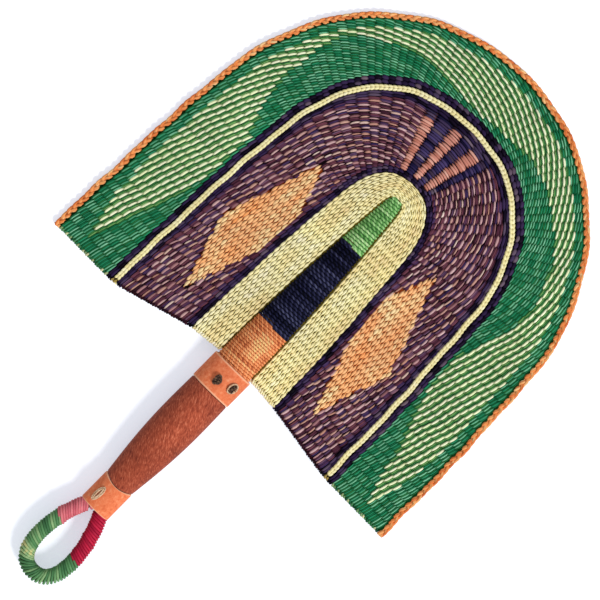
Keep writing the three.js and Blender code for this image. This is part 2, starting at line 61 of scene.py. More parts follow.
Array = np.ndarray
Numbers = Array | float
Pair = tuple[float, float]
Pairs = tuple[Pair, ...]
Colour = tuple[float, float, float, float]
Socket = bpy.types.NodeSocket
Feed = Socket | float | Sequence[float]


def smoothstep(value: Numbers, low: float, high: float) -> Numbers:
    """Eases from 0 at low to 1 at high."""
    share = np.clip((value - low) / (high - low), 0, 1)
    return share * share * (3 - 2 * share)


def lerp(start: Numbers, end: Numbers, share: Numbers) -> Numbers:
    """Gives the value at a share of the way from start to end."""
    return start + (end - start) * share


def patchy(draw: np.random.Generator, first: Array, second: Array, cell: float) -> Array:
    """Draws values from 0 to 1 that change smoothly over a grid of cells.

    Args:
        draw: where the random values come from.
        first: place of each value along the grid, from 0 up.
        second: its place across the grid, from 0 up.
        cell: size of a cell.

    Returns:
        The values.
    """
    grid = draw.uniform(0, 1, (int(first.max() / cell) + 2, int(second.max() / cell) + 2))
    a, b = (first / cell).astype(int), (second / cell).astype(int)
    share_a, share_b = smoothstep(first / cell - a, 0, 1), smoothstep(second / cell - b, 0, 1)
    near = lerp(grid[a, b], grid[a + 1, b], share_a)
    far = lerp(grid[a, b + 1], grid[a + 1, b + 1], share_a)
    return lerp(near, far, share_b)


def unit(vectors: Array) -> Array:
    """Scales each vector to a length of 1."""
    return vectors / np.maximum(np.linalg.norm(vectors, axis=-1, keepdims=True), 1e-9)


def run_along(points: Array) -> Array:
    """Gives how far along a line of points each of them lies."""
    return np.concatenate([[0], np.cumsum(np.linalg.norm(np.diff(points, axis=0), axis=1))])


# Finishes


def linear(colour: str) -> Colour:
    """Turns a written colour such as "1a7a4c" into the values that a shader takes."""
    channels = [int(colour[place:place + 2], 16) / 255 for place in (0, 2, 4)]
    return (*[c / 12.92 if c <= 0.04045 else ((c + 0.055) / 1.055) ** 2.4 for c in channels], 1.0)


class Nodes:
    """A node tree in the making, with short ways to add its nodes and join them."""

    def __init__(self, tree: bpy.types.NodeTree) -> None:
        """Takes the tree to work on."""
        self.tree = tree

    def join(self, target: Socket, value: Feed) -> None:
        """Joins a socket to another node's output, or sets its value."""
        if isinstance(value, Socket):
            self.tree.links.new(value, target)
        else:
            target.default_value = value

    def add(self, kind: str, inputs: dict[str | int, Feed] | None = None,
            **settings: object) -> bpy.types.Node:
        """Adds a node, with its settings and what feeds its inputs.

        Args:
            kind: the node's type.
            inputs: a socket or a value for each input, by name or number.
            settings: its other settings.

        Returns:
            The node.
        """
        node = self.tree.nodes.new(kind)
        for name, value in settings.items():
            setattr(node, name, value)
        for key, value in (inputs or {}).items():
            self.join(node.inputs[key], value)
        return node

    def math(self, operation: str, first: Feed, second: Feed = 0.0) -> Socket:
        """Works out one number from two."""
        return self.add("ShaderNodeMath", {0: first, 1: second}, operation=operation).outputs[0]


class Shader(Nodes):
    """A material in the making."""

    def __init__(self, name: str) -> None:
        """Starts a material with a bare surface shader."""
        self.material = bpy.data.materials.new(name)
        self.material.use_nodes = True
        super().__init__(self.material.node_tree)
        self.tree.nodes.clear()
        self.surface = self.add("ShaderNodeBsdfPrincipled")
        self.output = self.add("ShaderNodeOutputMaterial", {"Surface": self.surface.outputs["BSDF"]})

    def attribute(self, name: str, output: str = "Fac") -> Socket:
        """Reads an attribute of the mesh."""
        return self.add("ShaderNodeAttribute", attribute_name=name).outputs[output]

    def place(self) -> Socket:
        """Reads the place on the object."""
        return self.add("ShaderNodeTexCoord").outputs["Object"]

    def component(self, vector: Feed, axis: str) -> Socket:
        """Takes one component of a vector."""
        return self.add("ShaderNodeSeparateXYZ", {0: vector}).outputs[axis]

    def stretched(self, vector: Feed, scale: Sequence[float], shift: Feed = (0, 0, 0)) -> Socket:
        """Scales a vector and then shifts it."""
        inputs = {0: vector, 1: scale, 2: shift}
        return self.add("ShaderNodeVectorMath", inputs, operation="MULTIPLY_ADD").outputs[0]

    def turned(self, vector: Feed, angle: float) -> Socket:
        """Turns a vector about the upright axis."""
        inputs = {"Vector": vector, "Angle": angle}
        return self.add("ShaderNodeVectorRotate", inputs, rotation_type="Z_AXIS").outputs[0]

    def length(self, vector: Feed) -> Socket:
        """Gives the length of a vector."""
        return self.add("ShaderNodeVectorMath", {0: vector}, operation="LENGTH").outputs["Value"]

    def noise(self, vector: Feed, scale: float, detail: float = 3.0, rough: float = 0.5) -> Socket:
        """Gives smooth noise from 0 to 1 at a place."""
        inputs = {"Vector": vector, "Scale": scale, "Detail": detail, "Roughness": rough}
        return self.add("ShaderNodeTexNoise", inputs).outputs["Fac"]

    def spread(self, value: Feed, low: float, high: float) -> Socket:
        """Stretches the values between low and high to 0 and 1."""
        inputs = {"Value": value, "From Min": low, "From Max": high}
        return self.add("ShaderNodeMapRange", inputs).outputs["Result"]

    def ramp(self, value: Feed, colours: Sequence[str]) -> Socket:
        """Blends through colours set evenly from 0 to 1.

        Args:
            value: where on the ramp to look.
            colours: the colours as written.

        Returns:
            The colour.
        """
        node = self.add("ShaderNodeValToRGB", {"Fac": value})
        stops = node.color_ramp.elements
        while len(stops) < len(colours):
            stops.new(1.0)
        for count, colour in enumerate(colours):
            stops[count].position = count / max(1, len(colours) - 1)
            stops[count].color = linear(colour)
        return node.outputs["Color"]

    def mix(self, share: Feed, first: Feed, second: Feed, blend: str = "MIX") -> Socket:
        """Mixes two colours by a share."""
        inputs = {0: share, 6: first, 7: second}
        return self.add("ShaderNodeMix", inputs, data_type="RGBA", blend_type=blend).outputs[2]

    def relief(self, height: Feed, strength: float, depth: float) -> None:
        """Gives the surface a fine relief, with its depth in metres."""
        bump = self.add("ShaderNodeBump", {"Strength": strength, "Distance": depth, "Height": height})
        self.join(self.surface.inputs["Normal"], bump.outputs["Normal"])

    def dress(self, colour: Feed, roughness: float, specular: float, **sockets: float) -> bpy.types.Material:
        """Sets the surface and gives the finished material.

        Args:
            colour: the base colour.
            roughness: how dull the surface is.
            specular: how strongly it mirrors light.
            sockets: further sockets of the surface by name, with a space for each underscore.

        Returns:
            The material.
        """
        values = {"Base Color": colour, "Roughness": roughness, "Specular IOR Level": specular, **sockets}
        for name, value in values.items():
            self.join(self.surface.inputs[name.replace("_", " ")], value)
        return self.material


@dataclass(frozen=True)
class GrassFinish:
    """Dyed split grass. Each strand takes its colour from its own tint, so no two are quite alike.

    Args:
        name: the material's name.
        first: colours of the strands, from tint 0 to tint 1.
        second: colours of the strands of the other colour, where a band has two.
        roughness: how dull the grass is.
        streak: how much darker the fibre lines are.
        painted_end_shade: painted shade for the ends of a strand, where they dip between the ribs.
        painted_end_shade_share: how far they take it, from 0 to 1.
        sheen: how strongly the grass mirrors light.
        fibre_stretch: how the fibre lines are drawn out along and round the strand.
        fibre_shift: how far apart the fibre lines of two strands of unlike tint are taken.
        fibre_tone: what the colour is multiplied by in a fibre line.
        patch_tones: what it is multiplied by in the dull and in the fresh patches of the fan.
    """

    name: str
    first: tuple[str, ...]
    second: tuple[str, ...] = ()
    roughness: float = 0.5
    streak: float = 0.3
    painted_end_shade: str = "9a8a70"
    painted_end_shade_share: float = 1.0
    sheen: float = 0.1
    fibre_stretch: tuple[float, float, float] = (1.6, 9.0, 3.0)
    fibre_shift: tuple[float, float, float] = (41.0, 17.0, 29.0)
    fibre_tone: Colour = (0.42, 0.40, 0.42, 1.0)
    patch_tones: tuple[Colour, Colour] = ((0.92, 0.89, 0.88, 1.0), (1.05, 1.05, 1.02, 1.0))

    def material(self) -> bpy.types.Material:
        """Builds the material."""
        shader = Shader(self.name)
        tint = shader.attribute("tint")
        colour = shader.ramp(tint, self.first)
        if self.second:
            colour = shader.mix(shader.attribute("second"), colour, shader.ramp(tint, self.second))
        shift = shader.stretched(shader.attribute("tint", "Vector"), self.fibre_shift)
        place = shader.stretched(shader.attribute("grain", "Vector"), self.fibre_stretch, shift)
        fibres = shader.noise(place, scale=1.0)
        lines = shader.spread(fibres, low=0.42, high=0.68)
        dark = shader.mix(1.0, colour, self.fibre_tone, "MULTIPLY")
        colour = shader.mix(shader.math("MULTIPLY", lines, self.streak), colour, dark)
        # Painted shade: the ends of each strand are darkened, as they would be where they dip between the
        # ribs.
        reach = shader.math("ABSOLUTE", shader.component(shader.attribute("grain", "Vector"), "X"))
        ends = shader.math("MULTIPLY", shader.spread(reach, low=0.26, high=0.52), self.painted_end_shade_share)
        colour = shader.mix(ends, colour, shader.mix(1.0, colour, linear(self.painted_end_shade), "MULTIPLY"))
        patches = shader.spread(shader.noise(shader.place(), scale=45.0), low=0.35, high=0.7)
        colour = shader.mix(1.0, colour, shader.mix(patches, *self.patch_tones), "MULTIPLY")
        shader.relief(fibres, strength=0.35, depth=0.0003)
        return shader.dress(colour, self.roughness, self.sheen)


@dataclass(frozen=True)
class StemFinish:
    """Covered stems under the strands, seen in the deep gaps between them and darker than the strands over
    them: partly the stems' own colour and partly painted shade for those gaps.

    Args:
        name: the material's name.
        deep: the darkest colour.
        pale: the palest colour.
        inlay: colour of the stems inside an inlay of another dye.
    """

    name: str
    deep: str
    pale: str
    inlay: str = "000000"

    def material(self) -> bpy.types.Material:
        """Builds the material."""
        shader = Shader(self.name)
        fleck = shader.noise(shader.place(), scale=900.0)
        shader.relief(fleck, strength=0.4, depth=0.0002)
        # Partly painted shade: these colours are kept dark to stand for the shade in the gaps where the
        # stems show.
        colour = shader.ramp(shader.spread(fleck, low=0.35, high=0.65), (self.deep, self.pale))
        colour = shader.mix(shader.attribute("inlay"), colour, linear(self.inlay))
        return shader.dress(colour, roughness=0.85, specular=0.05)


@dataclass(frozen=True)
class LeatherFinish:
    """Tanned leather or suede, with nap or grain that runs aslant and handled, darker patches.

    Args:
        name: the material's name.
        shades: colours from the deepest of the nap to the palest.
        stretch: how the nap is drawn out along each direction, after its turn.
        nap: depth of the nap in metres.
        stain: how strongly the handled patches darken it.
        turn: how far the nap is turned about the fan's upright axis.
        cut: colour of its cut edges.
        painted_light_patch: centre and half sizes of a patch of painted light, where the sun from the fan's
            right falls most brightly, in metres.
        stain_tone: what the colour is multiplied by in the handled patches.
        painted_light_tone: what the colour is multiplied by in that patch of painted light.
    """

    name: str
    shades: tuple[str, ...]
    stretch: tuple[float, float, float]
    nap: float
    stain: float
    turn: float = 0.0
    cut: str = "f0aa84"
    painted_light_patch: tuple[float, float, float, float] | None = None
    stain_tone: Colour = (0.5, 0.42, 0.4, 1.0)
    painted_light_tone: Colour = (1.35, 1.45, 1.5, 1.0)

    def material(self) -> bpy.types.Material:
        """Builds the material."""
        shader = Shader(self.name)
        place = shader.place()
        drawn_out = shader.stretched(shader.turned(place, self.turn), self.stretch)
        nap = shader.noise(drawn_out, scale=1.0, detail=4.0, rough=0.65)
        colour = shader.ramp(shader.spread(nap, low=0.3, high=0.7), self.shades)
        patches = shader.spread(shader.noise(place, scale=55.0, detail=4.0, rough=0.6), low=0.5, high=0.72)
        stained = shader.mix(1.0, colour, self.stain_tone, "MULTIPLY")
        colour = shader.mix(shader.math("MULTIPLY", patches, self.stain), colour, stained)
        colour = shader.mix(shader.attribute("edge"), colour, linear(self.cut))
        # Painted light: a soft paler patch, as if the sun from the fan's right lit the leather most there.
        if self.painted_light_patch:
            x, y, half_width, half_height = self.painted_light_patch
            near = shader.length(shader.stretched(place, (1 / half_width, 1 / half_height, 0.0),
                                                  (-x / half_width, -y / half_height, 0.0)))
            paler = shader.mix(1.0, colour, self.painted_light_tone, "MULTIPLY")
            colour = shader.mix(shader.spread(near, low=1.0, high=0.2), colour, paler)
        shader.relief(nap, strength=0.6, depth=self.nap)
        return shader.dress(colour, roughness=0.82, specular=0.2, Sheen_Weight=0.15, Sheen_Roughness=0.5)


# Meshes and objects


def solid_mesh(name: str, points: Array, faces: Sequence[Sequence[int]]) -> bpy.types.Mesh:
    """Makes a smooth mesh from points in millimetres, with doubles merged and faces turned outwards.

    Args:
        name: the mesh's name.
        points: its points.
        faces: the points of each face.

    Returns:
        The mesh.
    """
    mesh = bpy.data.meshes.new(name)
    mesh.from_pydata((points * MM).tolist(), [], [tuple(face) for face in faces])
    work = bmesh.new()
    work.from_mesh(mesh)
    bmesh.ops.remove_doubles(work, verts=work.verts, dist=1e-6)
    bmesh.ops.recalc_face_normals(work, faces=work.faces)
    work.to_mesh(mesh)
    work.free()
    mesh.shade_smooth()
    return mesh


def set_values(mesh: bpy.types.Mesh, name: str, values: Array) -> None:
    """Stores one number or one vector for each point of a mesh."""
    kind = "FLOAT" if values.ndim == 1 else "FLOAT_VECTOR"
    attribute = mesh.attributes.new(name, kind, "POINT")
    attribute.data.foreach_set("value" if values.ndim == 1 else "vector", values.astype(np.float32).ravel())


def show(name: str, mesh: bpy.types.Mesh) -> bpy.types.Object:
    """Puts a mesh into the scene."""
    piece = bpy.data.objects.new(name, mesh)
    bpy.context.scene.collection.objects.link(piece)
    return piece


def seat(piece: bpy.types.Object, slot: str, nodes: Sequence[str]) -> None:
    """Fastens a piece to the fan's body, hides the CAD nodes that it stands for and logs its faces and
    material slot.
    """
    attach(piece, BODY)
    if nodes:
        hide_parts(*nodes)
    LOG.info("%s: %d faces, slot %s", piece.name, len(piece.data.polygons), slot)


class NodeTree(Nodes):
    """A Geometry Nodes tree that turns a carrier mesh into a finished piece."""

    def __init__(self, name: str, sizes: dict[str, float | int]) -> None:
        """Starts a tree with a geometry input, a material input and the named sizes.

        Args:
            name: the tree's name.
            sizes: its sizes and their usual values.
        """
        super().__init__(bpy.data.node_groups.new(name, "GeometryNodeTree"))
        sockets = self.tree.interface
        sockets.new_socket("Geometry", in_out="INPUT", socket_type="NodeSocketGeometry")
        sockets.new_socket("Finish", in_out="INPUT", socket_type="NodeSocketMaterial")
        for size, value in sizes.items():
            kind = "NodeSocketInt" if isinstance(value, int) else "NodeSocketFloat"
            sockets.new_socket(size, in_out="INPUT", socket_type=kind).default_value = value
        sockets.new_socket("Geometry", in_out="OUTPUT", socket_type="NodeSocketGeometry")
        self.given = self.add("NodeGroupInput").outputs
        self.result = self.add("NodeGroupOutput").inputs["Geometry"]

    def named(self, name: str, kind: str = "FLOAT_VECTOR") -> Socket:
        """Reads an attribute."""
        return self.add("GeometryNodeInputNamedAttribute", {"Name": name}, data_type=kind).outputs[0]

    def stored(self, geometry: Socket, name: str, value: Socket, kind: str = "FLOAT_VECTOR") -> Socket:
        """Stores a value for each point of a geometry."""
        return self.add("GeometryNodeStoreNamedAttribute", {
            "Geometry": geometry, "Name": name, "Value": value}, data_type=kind, domain="POINT").outputs[0]

    def finish(self, geometry: Socket) -> None:
        """Ends the tree: makes the copies real, shades them smooth and gives them their material."""
        real = self.add("GeometryNodeRealizeInstances", {0: geometry}).outputs[0]
        smooth = self.add("GeometryNodeSetShadeSmooth", {0: real}).outputs[0]
        dressed = self.add("GeometryNodeSetMaterial", {"Geometry": smooth, "Material": self.given["Finish"]})
        self.join(self.result, dressed.outputs[0])

    def run(self, name: str, carrier: bpy.types.Mesh, finish: bpy.types.Material,
            sizes: dict[str, float | int]) -> bpy.types.Object:
        """Runs the tree on a carrier mesh and keeps the result as a plain mesh.

        Args:
            name: the name of the new piece.
            carrier: the mesh that the tree works on.
            finish: the material of the piece.
            sizes: values for the tree's named sizes.

        Returns:
            The piece, with no modifier left on it.
        """
        piece = show(name, carrier)
        modifier = piece.modifiers.new("nodes", "NODES")
        modifier.node_group = self.tree
        for socket in self.tree.interface.items_tree:
            if socket.in_out == "INPUT" and socket.name in sizes:
                modifier[socket.identifier] = sizes[socket.name]
            elif socket.in_out == "INPUT" and socket.name == "Finish":
                modifier[socket.identifier] = finish
        view = bpy.context.evaluated_depsgraph_get()
        mesh = bpy.data.meshes.new_from_object(
            piece.evaluated_get(view), preserve_all_data_layers=True, depsgraph=view)
        piece.modifiers.remove(modifier)
        piece.data = mesh
        mesh.name = name
        bpy.data.meshes.remove(carrier)
        return piece


def laid_strands() -> NodeTree:
    """Builds the tree that lays a short strand on every point, bowed up and drawn in at its ends."""
    tree = NodeTree("laid_strands", {
        "Rings": 5, "Sides": 5, "Bow": 0.5, "Sway": 0.2, "Taper Start": 0.2, "Taper End": 1.0, "Tip": 0.45})
    given = tree.given
    line = tree.add("GeometryNodeCurvePrimitiveLine", {"Start": (-0.5, 0, 0), "End": (0.5, 0, 0)})
    line = tree.add("GeometryNodeResampleCurve", {"Curve": line.outputs[0], "Count": given["Rings"]})
    where = tree.add("GeometryNodeInputPosition").outputs[0]
    along = tree.add("ShaderNodeSeparateXYZ", {0: where}).outputs[0]
    reach = tree.math("ABSOLUTE", tree.math("MULTIPLY", along, 2.0))
    width = tree.add("ShaderNodeMapRange", {
        "Value": reach, "From Min": given["Taper Start"], "From Max": given["Taper End"], "To Min": 1.0,
        "To Max": given["Tip"]}, interpolation_type="SMOOTHSTEP").outputs["Result"]
    section = tree.add("GeometryNodeCurvePrimitiveCircle", {"Resolution": given["Sides"], "Radius": 0.5})
    strand = tree.add("GeometryNodeCurveToMesh", {
        "Curve": line.outputs[0], "Profile Curve": section.outputs[0], "Scale": width, "Fill Caps": True})
    strand = tree.stored(strand.outputs[0], "grain", where)
    arch = tree.math("SUBTRACT", 1.0, tree.math("POWER", reach, 2.0))
    sway, bow = (tree.math("MULTIPLY", arch, given[name]) for name in ("Sway", "Bow"))
    lift = tree.add("ShaderNodeCombineXYZ", {1: sway, 2: bow}).outputs[0]
    strand = tree.add("GeometryNodeSetPosition", {"Geometry": strand, "Offset": lift})
    turn = tree.add("FunctionNodeEulerToRotation", {0: tree.named("turn")}).outputs[0]
    laid = tree.add("GeometryNodeInstanceOnPoints", {
        "Points": given["Geometry"], "Instance": strand.outputs[0], "Rotation": turn,
        "Scale": tree.named("size")})
    tree.finish(laid.outputs[0])
    return tree


def run_cords() -> NodeTree:
    """Builds the tree that turns every run of edges into a round cord."""
    tree = NodeTree("run_cords", {"Sides": 6, "Radius": 1.0})
    run = tree.add("GeometryNodeMeshToCurve", {"Mesh": tree.given["Geometry"]}).outputs[0]
    section = tree.add("GeometryNodeCurvePrimitiveCircle", {"Resolution": tree.given["Sides"], "Radius": MM})
    place = tree.add("GeometryNodeSplineParameter").outputs
    section = tree.stored(section.outputs[0], "around", place["Factor"], "FLOAT")
    run = tree.stored(run, "along", place["Length"], "FLOAT")
    cord = tree.add("GeometryNodeCurveToMesh", {
        "Curve": run, "Profile Curve": section, "Scale": tree.given["Radius"], "Fill Caps": True}).outputs[0]
    along = tree.math("MULTIPLY", tree.named("along", "FLOAT"), GRAINS_PER_METRE)
    grain = tree.add("ShaderNodeCombineXYZ", {0: along, 1: tree.named("around", "FLOAT")}).outputs[0]
    tree.finish(tree.stored(cord, "grain", grain))
    return tree


@dataclass
class Strands:
    """Short strands to lay: where each lies, which way it runs and faces, and how big it is.

    Args:
        centre: middles of the strands on their valley level, in millimetres.
        axis: directions along the strands.
        normal: directions that they bow up to.
        size: length, width and thickness of each.
        tint: which of its dye's shades each takes, from 0 to 1.
        second: 1 for a strand of the second colour and 0 for any other.
    """

    centre: Array
    axis: Array
    normal: Array
    size: Array
    tint: Array
    second: Array

    def chosen(self, keep: Array) -> "Strands":
        """Gives only the strands that the mask keeps."""
        return Strands(*(getattr(self, name)[keep] for name in self.__dataclass_fields__))

    @staticmethod
    def together(parts: Sequence["Strands"]) -> "Strands":
        """Gives several sets of strands as one."""
        return Strands(*(np.concatenate([getattr(part, name) for part in parts])
                         for name in Strands.__dataclass_fields__))

    def carrier(self, name: str) -> bpy.types.Mesh:
        """Makes the mesh of loose points that carries the strands into their tree.

        Args:
            name: the start of its name.

        Returns:
            The mesh.
        """
        side = unit(np.cross(self.normal, self.axis))
        up = np.cross(self.axis, side)
        turn = np.stack([
            np.arctan2(side[:, 2], up[:, 2]),
            -np.arcsin(np.clip(self.axis[:, 2], -1, 1)),
            np.arctan2(self.axis[:, 1], self.axis[:, 0]),
        ], axis=1)
        mesh = bpy.data.meshes.new(name + "_points")
        mesh.vertices.add(len(self.centre))
        mesh.vertices.foreach_set("co", (self.centre * MM).astype(np.float32).ravel())
        set_values(mesh, "turn", turn)
        set_values(mesh, "size", self.size * MM)
        set_values(mesh, "tint", self.tint)
        set_values(mesh, "second", self.second)
        return mesh


class Runs:
    """Runs of points in millimetres, each to become one cord."""

    def __init__(self) -> None:
        """Starts with no run."""
        self.paths: list[Array] = []
        self.tints: list[Array] = []

    def add(self, path: Array, tint: Array | float) -> None:
        """Adds a run with its tint, one for all of it or one for each point."""
        self.paths.append(path)
        self.tints.append(np.broadcast_to(tint, len(path)))

    def carrier(self, name: str) -> bpy.types.Mesh:
        """Makes the mesh of edges that carries the runs into their tree.

        Args:
            name: the start of its name.

        Returns:
            The mesh.
        """
        points = np.concatenate(self.paths)
        mesh = bpy.data.meshes.new(name + "_runs")
        edges, start = [], 0
        for path in self.paths:
            edges.extend((start + step, start + step + 1) for step in range(len(path) - 1))
            start += len(path)
        mesh.from_pydata((points * MM).tolist(), edges, [])
        set_values(mesh, "tint", np.concatenate(self.tints))
        return mesh


CORDS = run_cords()
MADE: dict[Enum, bpy.types.Material] = {}


def finish_of(choice: Enum) -> bpy.types.Material:
    """Gives the material of a dye, a stem or a leather, built once."""
    if choice not in MADE:
        MADE[choice] = choice.value.material()
    return MADE[choice]


def wind(name: str, runs: Runs, finish: Enum, sides: int, radius: float, slot: str,
         nodes: Sequence[str]) -> None:
    """Makes one piece of round cord from runs.

    Args:
        name: the new piece's name.
        runs: the runs that the cord follows.
        finish: its dye or leather.
        sides: sides of the cord's section.
        radius: radius of the cord.
        slot: its material slot.
        nodes: the CAD nodes that it stands for.
    """
    piece = CORDS.run(name, runs.carrier(name), finish_of(finish), {"Sides": sides, "Radius": radius})
    seat(piece, slot, nodes)


def by_half_turns(draw: np.random.Generator, angle: Array, low: float, high: float) -> Array:
    """Draws values from low to high that change from half turn to half turn along a winding."""
    halves = round(angle[-1] / np.pi)
    return np.interp(angle / np.pi, np.arange(halves + 1), draw.uniform(low, high, halves + 1))


class Seed(IntEnum):
    """Starts of the random draws for each kind of piece."""

    CREAM = 10
    INNER_NAVY = 14
    MIDDLE_NAVY = 18
    OUTER_NAVY = 22
    CHAIN = 31
    RIM = 37
    GREEN = 40
    BASE_EDGE = 47
    PALE_GREEN = 50
    PLUM = 60
    PALE_PLUM = 70
    DIAMOND = 80
    WEDGE = 85
    SPINE = 120
    LOOP = 140


# Blade


@dataclass(frozen=True)
class Spread:
    """Sizes that all rows of the blade share, in millimetres from the root of the spine.

    Args:
        handle_lean: how far the handle and the spine lean to the left.
        lean_height: height of the point that they lean about.
        handle_height: height of the handle's middle above the table.
        spine_half_width: half width of the spine at its root.
        blade_half_width: half width of the blade at its feet.
        rim_half_thickness: half thickness of the rim.
        shoulder_height: height at which the legs end and the crown begins.
        leg_flare: how much of a leg's flare lies near its foot.
        foot_rise: height of the lower edge beside the spine.
        left_foot_drop: how far the left foot hangs down at the rim.
        right_foot_drop: how far the right foot does.
        foot_bend_start: where the lower edge begins to hang down, from the middle of the blade.
        foot_bend_end: where it has come down.
        ribs_per_leg: ribs down each leg.
        last_rib_reach: how far the last rib reaches into the whipped edge, as a share of the foot's place.
        crown_top: height of the top of the rim.
        wobbles: the weaver's uneven hand, as waves of a size, a rate along the row and a start.
        wobble_fade: how the wobble comes and goes between spine and rim.
    """

    handle_lean: float = math.radians(1.15)
    lean_height: float = 38.0
    handle_height: float = 10.0
    spine_half_width: float = 13.5
    blade_half_width: float = 143.0
    rim_half_thickness: float = 2.75
    shoulder_height: float = 121.6
    leg_flare: float = 1.7
    foot_rise: float = 1.3
    left_foot_drop: float = 18.9
    right_foot_drop: float = 9.5
    foot_bend_start: float = 15.0
    foot_bend_end: float = 100.0
    ribs_per_leg: int = 22
    last_rib_reach: float = 1.005
    crown_top: float = 260.8
    wobbles: tuple[tuple[float, float, float], ...] = ((0.35, 36.0, 0.7), (0.35, 22.0, 2.1), (0.4, 9.0, 0.4))
    wobble_fade: float = 1.7

    def wobble(self, place: Array) -> Array:
        """How far the weaver's hand pushed the rows outwards at a place, at most."""
        return sum(reach * np.sin(rate * place + start) for reach, rate, start in self.wobbles)

    def foot_height(self, place: Array, x: float) -> Array:
        """Height of the lower edge of the blade on either side, x from its middle."""
        drop = np.where(place < 0, self.left_foot_drop, self.right_foot_drop)
        return self.foot_rise - drop * smoothstep(x, self.foot_bend_start, self.foot_bend_end)

    @property
    def root(self) -> float:
        """Height of the root of the spine in the frame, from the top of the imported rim."""
        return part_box("rim_braid")[1].y / MM - self.crown_top


SPREAD = Spread()


@dataclass
class RowLine:
    """A row line of the blade: a U of straight legs closed over a rounded crown.

    A place along it runs from -2 at the left foot and -1 at the left shoulder over 0 at the crown to 2.

    Args:
        foot: half width at the feet.
        shoulder: half width at the shoulders.
        crown: height of the crown.
        fullness: how square the crown is, with 2 for a part of an ellipse.
        clear: height of its feet above the middle of the whipped edge.
        crown_steps: steps in which the crown is traced.
    """

    foot: float
    shoulder: float
    crown: float
    fullness: float
    clear: float = 2.9
    crown_steps: int = 160

    def __post_init__(self) -> None:
        """Works out the row's height above the table and traces its crown."""
        breadth = SPREAD.blade_half_width - SPREAD.spine_half_width
        self.share = (self.foot - SPREAD.spine_half_width) / breadth
        self.height = lerp(SPREAD.handle_height, SPREAD.rim_half_thickness, smoothstep(self.share, 0, 1))
        rise = np.sin(np.linspace(0, np.pi / 2, self.crown_steps + 1))
        self.crown_y = lerp(SPREAD.shoulder_height, self.crown, rise)
        self.crown_x = self.half_width(self.crown_y)
        self.crown_run = run_along(np.stack([self.crown_x, self.crown_y], axis=1))

    def half_width(self, y: Array) -> Array:
        """Half width of the row line at a height.

        Args:
            y: the height.

        Returns:
            The half width.
        """
        climb = np.clip(y / SPREAD.shoulder_height, 0, 1) ** SPREAD.leg_flare
        leg = self.shoulder + (self.foot - self.shoulder) * (1 - climb)
        above = y - SPREAD.shoulder_height
        draw_in = (self.foot - self.shoulder) * SPREAD.leg_flare * above / SPREAD.shoulder_height
        rise = np.clip(above / (self.crown - SPREAD.shoulder_height), 0, 1)
        arch = (self.shoulder - draw_in) * (1 - rise ** self.fullness) ** (1 / self.fullness)
        return np.where(y <= SPREAD.shoulder_height, leg, arch)

    def at(self, place: Array) -> Array:
        """Points of the row line, in the frame's axes.

        Args:
            place: places along the row.

        Returns:
            The points.
        """
        reach = np.abs(place)
        run = (1 - np.minimum(reach, 1)) * self.crown_run[-1]
        foot = SPREAD.foot_height(place, self.foot) + self.clear
        leg_y = lerp(SPREAD.shoulder_height, foot, np.maximum(reach, 1) - 1)
        y = np.where(reach <= 1, np.interp(run, self.crown_run, self.crown_y), leg_y)
        x = np.where(reach <= 1, np.interp(run, self.crown_run, self.crown_x), self.half_width(leg_y))
        lean = -math.tan(SPREAD.handle_lean) * (y - SPREAD.lean_height) * (1 - self.share)
        push = SPREAD.wobble(place) * self.share * (SPREAD.wobble_fade - self.share)
        turn = np.minimum(reach, 1) * np.pi / 2
        x, y = x + push * np.sin(turn), y + push * np.cos(turn)
        return np.stack([np.sign(place) * x + lean, y + SPREAD.root, np.full_like(y, self.height)], axis=-1)


def rib_edges(start: float, end: float, crown_ribs: int) -> Array:
    """Places of the edges between ribs, from start to end.

    Args:
        start: place of the first edge.
        end: place of the last edge.
        crown_ribs: ribs from shoulder to shoulder.

    Returns:
        The places, in order.
    """
    edges = [start]
    parts = ((-2, -1, SPREAD.ribs_per_leg), (-1, 1, crown_ribs / 2), (1, 2, SPREAD.ribs_per_leg))
    for low, high, ribs in parts:
        low, high = max(low, start), min(high, end)
        if high > low:
            edges.extend(np.linspace(low, high, round((high - low) * ribs) + 1)[1:])
    return np.array([edge * SPREAD.last_rib_reach if abs(edge) == 2 else edge for edge in edges])


